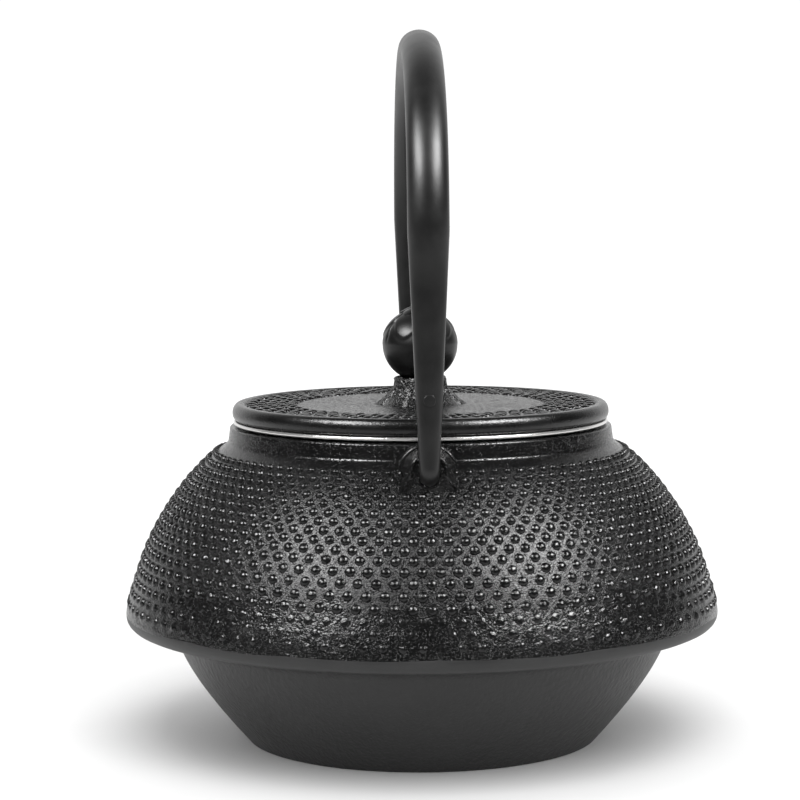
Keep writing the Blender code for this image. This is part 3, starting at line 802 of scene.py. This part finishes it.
def knob_surface(angle, polar, squash):
    """Point of the ball at an angle about Z and an angle above its equator."""
    upper = eased(polar, -0.015, 0.03)
    petal = abs(((angle * SEPALS / TURN + 0.15) % 1.0) - 0.5) * 2
    reach = 1.05 - 0.95 * petal ** 1.6
    height_share = polar / (math.pi / 2)
    draped = eased(height_share, 0.12 + 0.45 * (1 - reach), 0.2 + 0.45 * (1 - reach))
    groove = 0.30 * math.exp(-((petal - 1.0) / 0.06) ** 2) * eased(height_share, 0.0, 0.2)
    size = KNOB_RADIUS - 0.34 * (1 - upper) - 0.28 * upper * (1 - draped) - groove
    vertical = squash if polar < 0 else (KNOB_CROWN - KNOB_CENTRE) / KNOB_RADIUS
    return about_z(size * math.cos(polar), angle, KNOB_CENTRE + size * vertical * math.sin(polar))


def build_knob(black):
    """Fruit-shaped ball: five sepals drape over its upper half, with a leafy cap and a twisted stem."""
    shell = Shell()
    rows = 64
    bottom = KNOB_LOW.z
    lower_radius = KNOB_RADIUS - 0.3
    foot_angle = -math.acos(KNOB_FOOT_RADIUS / lower_radius)
    squash = (KNOB_CENTRE - bottom) / (-lower_radius * math.sin(foot_angle))
    socket = shell.turn([(0.0, PIN_HIGH.z + 0.3), (PIN_BORE, PIN_HIGH.z + 0.3)], KNOB_COLUMNS)
    last = shell.turn([(PIN_BORE, bottom), (5.4, bottom)], KNOB_COLUMNS, socket)
    for row in range(rows + 1):
        polar = foot_angle + (math.radians(80.0) - foot_angle) * row / rows
        angles = [column_angle(k, KNOB_COLUMNS) for k in range(KNOB_COLUMNS)]
        last = shell.carry(last, [knob_surface(angle, polar, squash) for angle in angles])
    shell.cap(last, (0.0, 0.0, KNOB_CROWN + 0.1))
    for leaves, reach, lift, twist in ((6, 6.1, 0.0, 0.2), (5, 3.9, 0.75, 0.7)):
        add_leaves(shell, leaves, reach, lift, twist)
    add_stem(shell)
    return make_piece("knob_ball", shell, (black,), "knob", ("knob",), sharp=42.0)


def add_leaves(shell, leaves, reach, lift, twist):
    """Layer of leaves round the stem."""
    rings = []
    for share in (0.0, 0.3, 0.6, 0.85, 1.0):
        ring = []
        for k in range(KNOB_COLUMNS):
            angle = column_angle(k, KNOB_COLUMNS)
            lobe = abs(math.cos(leaves * (angle + twist) / 2 + 0.25 * share))
            out = share * reach * (0.62 + 0.38 * lobe ** 0.8)
            ball = KNOB_CENTRE + 10.3 * math.sqrt(max(1 - (out / KNOB_RADIUS) ** 2, 0.0))
            rise = 0.30 * lobe * math.sin(math.pi * share)
            ring.append(about_z(out, angle, ball + 0.55 + lift * (1 - share) + rise - 0.25 * share))
        rings.append(ring)
    loops = [shell.loop(ring) for ring in rings[1:]]
    shell.cap(loops[0], (0.0, 0.0, rings[0][0][2]))
    shell.stack(loops)
    hem = shell.carry(loops[-1], [(x * 0.985, y * 0.985, z - 0.9) for x, y, z in rings[-1]])
    shell.cap(hem, (0.0, 0.0, KNOB_CENTRE + 8.0))


def add_stem(shell):
    """Short twisted stub that leans a little."""
    steps, sides = 12, 32
    foot = KNOB_CENTRE + 9.2
    last = None
    for step in range(steps + 1):
        share = step / steps
        height = foot + (KNOB_HIGH.z - foot) * share
        lean = 0.5 * share ** 2
        size = 2.15 - 0.75 * share + 0.35 * eased(share, 0.75, 1.0)
        ring = []
        for k in range(sides):
            angle = TURN * k / sides
            rib = 1 + 0.14 * math.cos(4 * (angle + 1.4 * share))
            x, y, z = about_z(size * rib, angle, height)
            ring.append(shell.add((lean + x, y, z)))
        if last is None:
            shell.cap(ring, (0.0, 0.0, height))
        else:
            shell.join(last, ring)
        last = ring
    shell.cap(last, (0.5, 0.0, KNOB_HIGH.z - 0.15))


def build_pin(steel):
    """Rivet up through the lid into the knob, and the washer under its head."""
    low, high = PIN_LOW.z, PIN_HIGH.z
    neck = WASHER_LOW.z - 0.3
    shell = Shell()
    outline = [(0.0, low)] + arc((1.6, low + 1.0), (2.2, 1.0), -90, 0, 8)
    outline += [(3.8, neck - 0.25), (3.6, neck), (2.0, neck), (2.0, high - 0.3), (1.7, high), (0.0, high)]
    shell.turn(outline, 64)
    make_piece("knob_rivet", shell, (steel,), "knob", ("knob_pin",))
    shell = Shell()
    low, high, outer = WASHER_LOW.z, WASHER_HIGH.z, WASHER_HIGH.x
    outline = [(PIN_BORE, low), (outer - 0.25, low), (outer, low + 0.25), (outer, high - 0.25),
               (outer - 0.25, high), (PIN_BORE, high)]
    closed_ring(shell, outline, 64)
    make_piece("knob_washer_disc", shell, (steel,), "knob", ("knob_washer",))


def closed_ring(shell, outline, columns):
    """Turned ring with a hole: the outline closes on itself."""
    rings = [shell.ring(radius, height, columns) for radius, height in outline]
    for index, ring in enumerate(rings):
        shell.join(rings[index - 1], ring)


# Infuser --------------------------------------------------------------------------------------------

def build_infuser(steel, gauze):
    """Rolled rim with a stepped band, basket of woven wire, and the band that clasps its foot."""
    columns = 256
    low, high = FLANGE_HIGH.z - 0.98, FLANGE_HIGH.z + 0.08
    half = (high - low) / 2
    foot = FLANGE_LOW.z
    band, sleeve = BAND_RADIUS - SHEET, MESH_HIGH.x + 0.3
    shelf = SHELF_HEIGHT - SHEET
    outline = [(BAND_RADIUS + 0.3, low)] + arc((RIM_RADIUS - half, low + half), (half, half), -90, 90, 10)
    outline += [(band + 0.5, high), (band, high - 0.4), (band, SHELF_HEIGHT + 0.5),
                (band - 0.4, SHELF_HEIGHT), (sleeve + 0.5, SHELF_HEIGHT), (sleeve, SHELF_HEIGHT - 0.4),
                (sleeve, foot), (sleeve + SHEET, foot), (sleeve + SHEET, shelf - 0.4),
                (sleeve + SHEET + 0.3, shelf), (BAND_RADIUS - 0.4, shelf), (BAND_RADIUS, shelf + 0.4),
                (BAND_RADIUS, low - 0.3)]
    shell = Shell()
    closed_ring(shell, outline, columns)
    make_piece("infuser_rim", shell, (steel,), "infuser", ("infuser_flange",))

    shell = Shell()
    outer, low, high = RING_HIGH.x, RING_LOW.z, RING_HIGH.z
    lip = outer - 6.5
    outline = [(outer - 0.4, low), (outer, low + 0.4), (outer, low + 2.6), (outer + 0.1, low + 3.1),
               (outer, low + 3.6), (outer, high), (sleeve, high), (sleeve, low + 0.9),
               (sleeve - 0.3, low + 0.5), (lip, low + 0.5), (lip, low)]
    closed_ring(shell, outline, columns)
    make_piece("infuser_foot_band", shell, (steel,), "infuser", ("infuser_base_ring",))

    build_mesh_wall(gauze)
    build_mesh_base(gauze)


def add_wire(shell, points, outwards, radius, closed):
    """Four-sided wire through points. outwards gives each point's direction away from the sheet."""
    rings = []
    count = len(points)
    for index, point in enumerate(points):
        before = points[index - 1] if closed or index else point
        after = points[(index + 1) % count] if closed or index < count - 1 else point
        along = (after - before).normalized()
        out = outwards[index]
        across = along.cross(out).normalized()
        rings.append([shell.add(point + out * radius), shell.add(point + across * radius),
                      shell.add(point - out * radius), shell.add(point - across * radius)])
    shell.stack(rings)
    if closed:
        shell.join(rings[-1], rings[0])
    else:
        shell.face(rings[0])
        shell.face(rings[-1])


def build_mesh_wall(gauze):
    """Woven wire: uprights pass in front of and behind the hoops in turn."""
    shell = Shell()
    middle = MESH_HIGH.x - 0.25
    low, high = MESH_LOW.z, MESH_HIGH.z
    around = 2 * round(TURN * middle / WIRE_PITCH / 2)
    hoops = round((high - low - 0.6) / WIRE_PITCH)
    pitch = (high - low - 0.6) / hoops
    outwards = [Vector(about_z(1.0, TURN * k / around, 0.0)) for k in range(around)]

    def crossing(k, j, side):
        """Where upright k meets hoop j: side is 1 on the upright and -1 on the hoop."""
        weave = side * WIRE * 0.85 * (-1) ** (k + j)
        return outwards[k] * (middle + weave) + Vector((0.0, 0.0, low + 0.3 + pitch * j))

    for k, out in enumerate(outwards):
        points = [crossing(k, j, 1) for j in range(hoops + 1)]
        add_wire(shell, points, [out] * len(points), WIRE, False)
    for j in range(hoops + 1):
        add_wire(shell, [crossing(k, j, -1) for k in range(around)], outwards, WIRE, True)
    make_piece("infuser_basket", shell, (gauze,), "infuser", ("infuser_wall",), sharp=80.0)


def build_mesh_base(gauze):
    shell = Shell()
    reach = DISC_HIGH.x - 0.25
    height = (DISC_LOW.z + DISC_HIGH.z) / 2
    count = int(reach / WIRE_PITCH)
    up = Vector((0.0, 0.0, 1.0))
    for family in (0, 1):
        for i in range(-count, count + 1):
            offset = i * WIRE_PITCH
            span = int(math.sqrt(max(reach ** 2 - offset ** 2, 0.0)) / WIRE_PITCH)
            if span < 1:
                continue
            points = []
            for j in range(-span, span + 1):
                rise = WIRE * 0.75 * (-1) ** (i + j + family)
                place = (offset, j * WIRE_PITCH) if family == 0 else (j * WIRE_PITCH, offset)
                points.append(Vector((*place, height + rise)))
            add_wire(shell, points, [up] * len(points), WIRE * 0.85, False)
    make_piece("infuser_floor", shell, (gauze,), "infuser", ("infuser_base",), sharp=80.0)


# Handle ---------------------------------------------------------------------------------------------

def handle_route():
    """Centre line in the YZ plane from one open foot over the arch to the other."""
    kink = Vector(KINK)
    foot = arc((FOOT_FACE, PIVOT_HEIGHT + FOOT_BEND), (FOOT_BEND, FOOT_BEND), -90, 0, 10)
    leg = [foot[-1].lerp(kink, k / 40) for k in range(1, 41)]
    rise = GRIP_HIGH.z - TUBE_HALF_DEPTH - kink.y
    arch = []
    for step in range(1, 41):
        angle = math.pi / 2 * step / 40
        arch.append(Vector((kink.x * max(math.cos(angle), 0.0) ** (2 / ARCH_FULLNESS),
                            kink.y + rise * math.sin(angle) ** (2 / ARCH_FULLNESS))))
    half = foot + leg + arch
    return half + [Vector((-point.x, point.y)) for point in reversed(half[:-1])]


def tube_size(height):
    """Half width, half depth and squareness of the tube's section at a height."""
    taper = min(max((height - PIVOT_HEIGHT) / (KINK[1] - PIVOT_HEIGHT), 0.0), 1.0)
    half_width = FOOT_HALF_WIDTH + (TUBE_RADIUS - FOOT_HALF_WIDTH) * taper
    flat_depth = FOOT_HALF_DEPTH + (LEG_HALF_DEPTH - FOOT_HALF_DEPTH) * taper
    round_part = eased(height, FLAT_START - 6.0, KINK[1] + 3.0)
    half_depth = flat_depth + (TUBE_HALF_DEPTH - flat_depth) * round_part
    squareness = 2.0 + 0.8 * min(taper * 4, 1.0) * (1 - round_part)
    return half_width, half_depth, squareness


def handle_section(centre, along, half_width, half_depth, squareness, steps=48):
    """Rounded section across the handle's centre line."""
    outwards = Vector((along.y, -along.x))
    points = []
    for step in range(steps):
        angle = TURN * step / steps
        cosine, sine = math.cos(angle), math.sin(angle)
        wide = half_width * math.copysign(abs(cosine) ** (2 / squareness), cosine)
        deep = half_depth * math.copysign(abs(sine) ** (2 / squareness), sine)
        middle = centre + outwards * deep
        points.append((wide, middle.x, middle.y))
    return points


def build_handle(black):
    shell = Shell()
    route = handle_route()
    outer, inner = [], []
    for index, point in enumerate(route):
        along = Vector((1.0, 0.0)) if index in (0, len(route) - 1) else heading(route, index)
        half_width, half_depth, squareness = tube_size(point.y)
        outer.append(handle_section(point, along, half_width, half_depth, squareness))
        half_width -= TUBE_WALL
        half_depth -= TUBE_WALL
        inner.append(handle_section(point, along, half_width, half_depth, squareness))
    outer_rings, inner_rings = ([shell.loop(section) for section in skin] for skin in (outer, inner))
    shell.stack(outer_rings)
    shell.stack(inner_rings)
    for end in (0, -1):
        shell.join(outer_rings[end], inner_rings[end])
    return make_piece("handle_bail", shell, (black,), "handle", ("handle_grip",))


def build_rivets(black):
    """Flush rivet through each leg, its head a shallow dome level with the leg's outer face."""
    for side, name in ((1, "front"), (-1, "rear")):
        shell = Shell()
        height = (RIVET_LOW.z + RIVET_HIGH.z) / 2
        outside, inside = RIVET_HIGH.y, RIVET_LOW.y
        stations = [(inside, 0.0), (inside, 0.8), (outside - 0.5, 0.8), (outside - 0.5, 1.6),
                    (outside + 0.05, 1.6), (outside + 0.16, 1.5), (outside + 0.2, 1.2),
                    (outside + 0.21, 0.0)]
        last = None
        for distance, radius in stations:
            count = 1 if radius == 0.0 else 32
            ring = shell.loop([(radius * math.cos(TURN * k / 32), side * distance,
                                height + radius * math.sin(TURN * k / 32)) for k in range(count)])
            if last is not None:
                shell.join(last, ring)
            last = ring
        make_piece("leg_rivet_" + name, shell, (black,), "handle", ("handle_rivet_" + name,))


# Materials ------------------------------------------------------------------------------------------

def feed(tree, value, socket):
    """Link an output to a socket, or set the socket where value is a number."""
    if isinstance(value, float):
        socket.default_value = value
    else:
        tree.links.new(value, socket)


def map_range(tree, value, low, high, new_low, new_high):
    node = tree.nodes.new("ShaderNodeMapRange")
    for name, number in (("From Min", low), ("From Max", high), ("To Min", new_low), ("To Max", new_high)):
        node.inputs[name].default_value = number
    tree.links.new(value, node.inputs["Value"])
    return node


def by_ray(tree, value_a, value_b, ray):
    """The first value, or the second one for one kind of ray."""
    mix = tree.nodes.new("ShaderNodeMix")
    mix.data_type = "FLOAT"
    kinds = tree.nodes.new("ShaderNodeLightPath")
    tree.links.new(kinds.outputs[ray], mix.inputs[0])
    feed(tree, value_a, mix.inputs[2])
    feed(tree, value_b, mix.inputs[3])
    return mix.outputs[0]


class Finish:
    """Node material built round one Principled shader."""

    def __init__(self, name, roughness=0.5, metallic=0.0, specular=0.5):
        self.material = bpy.data.materials.new(name)
        self.material.use_nodes = True
        self.tree = self.material.node_tree
        self.shader = self.tree.nodes["Principled BSDF"]
        self.shader.inputs["Roughness"].default_value = roughness
        self.shader.inputs["Metallic"].default_value = metallic
        self.shader.inputs["Specular IOR Level"].default_value = specular
        self.place = self.tree.nodes.new("ShaderNodeTexCoord").outputs["Object"]

    def link(self, source, target):
        self.tree.links.new(source, target)

    def stretched(self, scale):
        """Object coordinates with a different scale along each axis."""
        mapping = self.tree.nodes.new("ShaderNodeMapping")
        mapping.inputs["Scale"].default_value = scale
        self.link(self.place, mapping.inputs["Vector"])
        return mapping.outputs["Vector"]

    def noise(self, size, detail=2.0, roughness=0.5, vector=None):
        """Noise whose grains are about size millimetres across."""
        node = self.tree.nodes.new("ShaderNodeTexNoise")
        node.inputs["Scale"].default_value = 1 / (size * MM)
        node.inputs["Detail"].default_value = detail
        node.inputs["Roughness"].default_value = roughness
        self.link(vector or self.place, node.inputs["Vector"])
        return node.outputs["Fac"]

    def cells(self, size):
        """Cell pattern whose cells are about size millimetres across."""
        node = self.tree.nodes.new("ShaderNodeTexVoronoi")
        node.inputs["Scale"].default_value = 1 / (size * MM)
        self.link(self.place, node.inputs["Vector"])
        return node.outputs["Distance"]

    def ranged(self, value, low, high, new_low, new_high):
        return map_range(self.tree, value, low, high, new_low, new_high).outputs["Result"]

    def multiply(self, value_a, value_b):
        node = self.tree.nodes.new("ShaderNodeMath")
        node.operation = "MULTIPLY"
        self.link(value_a, node.inputs[0])
        self.link(value_b, node.inputs[1])
        return node.outputs["Value"]

    def colour(self, value, stops):
        """Base colour from a value by a ramp of (place, colour) stops."""
        ramp = self.tree.nodes.new("ShaderNodeValToRGB")
        ramp.color_ramp.elements[0].position = stops[0][0]
        ramp.color_ramp.elements[1].position = stops[-1][0]
        for place, _ in stops[1:-1]:
            ramp.color_ramp.elements.new(place)
        for element, (_, colour) in zip(ramp.color_ramp.elements, stops):
            element.color = (*colour, 1.0)
        self.link(value, ramp.inputs["Fac"])
        self.link(ramp.outputs["Color"], self.shader.inputs["Base Color"])

    def shades(self, value, dark, light):
        """Neutral base colour between two shades of grey."""
        self.colour(value, ((0.3, grey(dark)), (0.7, grey(light))))

    def gloss(self, value, smooth, rough):
        self.link(self.ranged(value, 0.3, 0.7, smooth, rough), self.shader.inputs["Roughness"])

    def bump(self, layers):
        """Stack bumps of (height value, height in millimetres) onto the shader's normal."""
        last = None
        for value, height in layers:
            node = self.tree.nodes.new("ShaderNodeBump")
            node.inputs["Distance"].default_value = height * MM
            self.link(value, node.inputs["Height"])
            if last is not None:
                self.link(last, node.inputs["Normal"])
            last = node.outputs["Normal"]
        self.link(last, self.shader.inputs["Normal"])


def grey(value, warmth=0.0):
    return (value * (1 + warmth), value, value * (1 - warmth))


def cast_iron(name, grain, height, specks, gloss, shades=(0.0022, 0.0045), specular=0.42):
    """Sand-cast iron under thin black lacquer: fine grain, sharp specks, pits and slow patches of wear.

    grain is the grains' width, and height and specks are how far grains and specks stand out. gloss is the
    range of roughness.
    """
    dark, light = shades
    finish = Finish(name, specular=specular)
    coarse = finish.noise(grain, 1.5, 0.5)
    fine = finish.noise(grain * 0.5, 1.0, 0.5)
    sharp = finish.ranged(finish.noise(grain * 0.8, 1.0), 0.56, 0.70, 0.0, 1.0)
    pits = finish.ranged(finish.cells(grain * 3.5), 0.0, 0.25, 0.0, 1.0)
    patches = finish.noise(14.0, 4.0, 0.6)
    finish.colour(patches, ((0.3, grey(dark)), (0.55, grey((dark + light) / 2)), (0.75, grey(light, 0.02))))
    finish.gloss(patches, *gloss)
    finish.bump(((patches, 0.08), (pits, height * 0.4), (coarse, height), (fine, height * 0.4),
                 (sharp, specks)))
    return finish.material


def skirt_lacquer():
    band = Finish("skirt_lacquer")
    patches = band.noise(10.0, 3.0)
    band.shades(patches, 0.010, 0.016)
    band.gloss(patches, 0.44, 0.52)
    band.bump(((patches, 0.05), (band.noise(0.5, 2.0, 0.6), 0.02)))
    return band.material


def bowl_lacquer():
    """Dull lacquer over casting that is wrinkled like hide, with a few pits."""
    bowl = Finish("bowl_lacquer")
    patches = bowl.noise(16.0, 3.0)
    hide = bowl.noise(1.5, 2.0, 0.55, bowl.stretched((1.0, 1.0, 0.55)))
    pits = bowl.ranged(bowl.cells(7.0), 0.0, 0.06, 0.0, 1.0)
    bowl.shades(patches, 0.008, 0.013)
    bowl.gloss(patches, 0.42, 0.5)
    bowl.bump(((hide, 0.34), (pits, 0.15), (bowl.noise(0.35, 2.0, 0.6), 0.04)))
    return bowl.material


def black_enamel():
    enamel = Finish("black_enamel", specular=0.5)
    ripple = enamel.noise(3.0, 2.0)
    specks = enamel.noise(0.5, 1.0)
    enamel.colour(specks, ((0.35, grey(0.010)), (0.7, grey(0.016))))
    enamel.gloss(ripple, 0.24, 0.34)
    enamel.bump(((ripple, 0.06), (specks, 0.01)))
    return enamel.material


def satin_lacquer(name, specular, peel_size, smear_size, peel_height, shades, gloss):
    """Smooth black lacquer with a trace of orange peel and of smears from hands."""
    satin = Finish(name, specular=specular)
    peel = satin.noise(peel_size, 2.0)
    smears = satin.noise(smear_size[0], 3.0, smear_size[1])
    satin.shades(smears, *shades)
    satin.gloss(smears, *gloss)
    satin.bump(((smears, 0.03), (peel, peel_height)))
    return satin.material


def rolled_stainless():
    steel = Finish("rolled_stainless", metallic=0.75)
    brushed = steel.noise(0.25, 2.0, 0.6, steel.stretched((1.0, 1.0, 14.0)))
    stains = steel.noise(11.0, 3.0)
    steel.colour(stains, ((0.3, grey(0.60, 0.01)), (0.7, grey(0.72, 0.015))))
    steel.gloss(brushed, 0.14, 0.22)
    steel.bump(((brushed, 0.0015),))
    return steel.material


def stainless_wire():
    wire = Finish("stainless_wire", metallic=1.0)
    scuffs = wire.noise(0.6, 2.0)
    wire.colour(scuffs, ((0.3, grey(0.48, 0.01)), (0.7, grey(0.62, 0.015))))
    wire.gloss(scuffs, 0.26, 0.40)
    return wire.material


def blackened_steel():
    hook = Finish("blackened_steel", metallic=0.6)
    scale = hook.noise(0.5, 3.0)
    hook.shades(scale, 0.016, 0.034)
    hook.gloss(scale, 0.38, 0.52)
    hook.bump(((scale, 0.02),))
    return hook.material


def make_materials():
    return {
        "iron": cast_iron("pot_iron_ground", 0.45, 0.11, 0.07, (0.18, 0.24)),
        "stud": cast_iron("pot_iron_studs", 0.8, 0.10, 0.02, (0.21, 0.27), (0.0018, 0.004)),
        "lid": cast_iron("lid_iron_ground", 0.5, 0.15, 0.08, (0.2, 0.26), specular=0.56),
        "boss": cast_iron("lug_iron", 0.75, 0.06, 0.30, (0.2, 0.26)),
        "rough": cast_iron("rough_iron", 0.7, 0.13, 0.26, (0.18, 0.24), specular=0.40),
        "neck": cast_iron("neck_iron", 0.8, 0.05, 0.34, (0.18, 0.24)),
        "rim": cast_iron("lid_rim_iron", 0.7, 0.05, 0.01, (0.22, 0.32)),
        "skirt": skirt_lacquer(),
        "bowl": bowl_lacquer(),
        "enamel": black_enamel(),
        "satin": satin_lacquer("satin_black_lacquer", 0.45, 0.7, (9.0, 0.6), 0.012,
                               (0.004, 0.008), (0.33, 0.41)),
        "knob": satin_lacquer("knob_lacquer", 0.42, 0.8, (5.0, 0.5), 0.008,
                              (0.001, 0.002), (0.33, 0.40)),
        "steel": rolled_stainless(),
        "wire": stainless_wire(),
        "hook": blackened_steel(),
    }


# Studio ---------------------------------------------------------------------------------------------

def build_floor():
    """Large pale floor. Its colour is painted darker round the pot as painted shade, and darker on the
    camera side in reflections only, as painted shade in reflections.
    """
    shell = Shell()
    reach = 6000.0
    shell.face(shell.loop([(reach * x, reach * y, 0.0) for x, y in ((-1, -1), (1, -1), (1, 1), (-1, 1))]))
    floor = new_object("floor", shell.mesh("floor"))
    finish = Finish("white_floor", roughness=0.7, specular=0.2)
    split = finish.tree.nodes.new("ShaderNodeSeparateXYZ")
    finish.link(finish.place, split.inputs["Vector"])
    mottle = finish.ranged(finish.noise(60.0, 2.0), 0.3, 0.7, 0.97, 1.0)
    from_pot = finish.tree.nodes.new("ShaderNodeVectorMath")
    from_pot.operation = "LENGTH"
    finish.link(finish.place, from_pot.inputs[0])
    # painted shade: the floor's colour darkens towards the pot, widening the soft shadow round it
    seen = finish.ranged(from_pot.outputs["Value"], 0.15, 0.9, 0.74, 0.98)
    # painted shade in reflections: glossy rays see the floor darker towards the camera side, darkening what
    # the lacquer reflects
    reflected_painted_shade = finish.ranged(split.outputs["Y"], -0.6, -0.05, 0.05, 0.75)
    shade = finish.multiply(by_ray(finish.tree, seen, reflected_painted_shade, "Is Glossy Ray"), mottle)
    finish.colour(shade, ((0.0, grey(0.0)), (1.0, grey(1.0))))
    floor.data.materials.append(finish.material)


def build_light(name, direction, distance, size, power, glossy):
    """Softbox that faces the pot, either seen in the lacquer or only filling in light on the floor."""
    data = bpy.data.lights.new(name, "AREA")
    data.shape = "RECTANGLE"
    data.size, data.size_y = size
    data.energy = power
    light = new_object(name, data)
    aim = Vector((0.0, 0.0, 0.06))
    towards = Vector(direction).normalized()
    light.location = aim + towards * distance
    light.rotation_euler = (-towards).to_track_quat("-Z", "Y").to_euler()
    light.visible_diffuse = not glossy
    light.visible_glossy = glossy


def build_world():
    """White studio. Its camera side and ceiling are dark in reflections, and the floor is lit evenly."""
    world = bpy.data.worlds.new("studio")
    world.use_nodes = True
    world.cycles.sampling_method = "NONE"
    tree = world.node_tree
    background = tree.nodes["Background"]
    place = tree.nodes.new("ShaderNodeTexCoord")
    split = tree.nodes.new("ShaderNodeSeparateXYZ")
    tree.links.new(place.outputs["Generated"], split.inputs["Vector"])
    ramp = map_range(tree, split.outputs["Y"], 0.32, 0.88, 0.02, 1.0)
    ramp.interpolation_type = "SMOOTHSTEP"
    strength = ramp.outputs["Result"]
    for ray, value in (("Is Diffuse Ray", 1.12), ("Is Camera Ray", 1.05)):
        strength = by_ray(tree, strength, value, ray)
    tree.links.new(strength, background.inputs["Strength"])
    background.inputs["Color"].default_value = (1.0, 1.0, 1.0, 1.0)
    bpy.context.scene.world = world


def build_camera():
    """Camera a little above the lid, with a long lens. It looks down by pitch and leans by roll."""
    place = Vector((-24.90, -727.11, 164.16))
    turned = math.radians(1.5)
    pitch = 0.0923
    roll = 0.007
    level = Vector((math.sin(turned), math.cos(turned), 0.0))
    right = Vector((math.cos(turned), -math.sin(turned), 0.0))
    up = Vector((0.0, 0.0, 1.0))
    forward = level * math.cos(pitch) - up * math.sin(pitch)
    lifted = level * math.sin(pitch) + up * math.cos(pitch)
    camera_right = right * math.cos(roll) - lifted * math.sin(roll)
    camera_up = right * math.sin(roll) + lifted * math.cos(roll)
    data = bpy.data.cameras.new("camera")
    data.lens = 114.5
    data.sensor_width = 36.0
    data.clip_start = 0.05
    camera = new_object("camera", data)
    axes = Matrix((camera_right, camera_up, -forward)).transposed().to_4x4()
    camera.matrix_world = Matrix.Translation(place * MM) @ axes
    bpy.context.scene.camera = camera


# Whole scene ----------------------------------------------------------------------------------------

def finish_cad_nodes(finishes):
    """Give the CAD nodes that stay their procedural material."""
    for name in ("handle_hook_front", "handle_hook_rear"):
        mesh = frame["nodes"][name].data
        mesh.materials.clear()
        mesh.materials.append(finishes["hook"])


def main():
    finishes = make_materials()
    build_camera()
    build_pot(finishes)
    build_spout(finishes["iron"], finishes["enamel"])
    for name, side in (("lug_front", 1), ("lug_rear", -1)):
        build_lug(name, side, finishes["boss"])
    build_lid(finishes["lid"], finishes["stud"], finishes["rim"])
    build_knob(finishes["knob"])
    build_pin(finishes["steel"])
    build_infuser(finishes["steel"], finishes["wire"])
    build_handle(finishes["satin"])
    build_rivets(finishes["satin"])
    finish_cad_nodes(finishes)
    build_floor()
    build_world()
    for name, side, power in (("softbox_left", -1, 20.0), ("softbox_right", 1, 23.5)):
        build_light(name, (0.60 * side, -0.44, 0.68), 1.1, (0.62, 0.36), power, True)
    build_light("ceiling_fill", (0.1, -0.55, 0.85), 2.4, (1.8, 1.8), 48.0, False)
    bpy.context.scene.view_settings.view_transform = "Standard"


main()
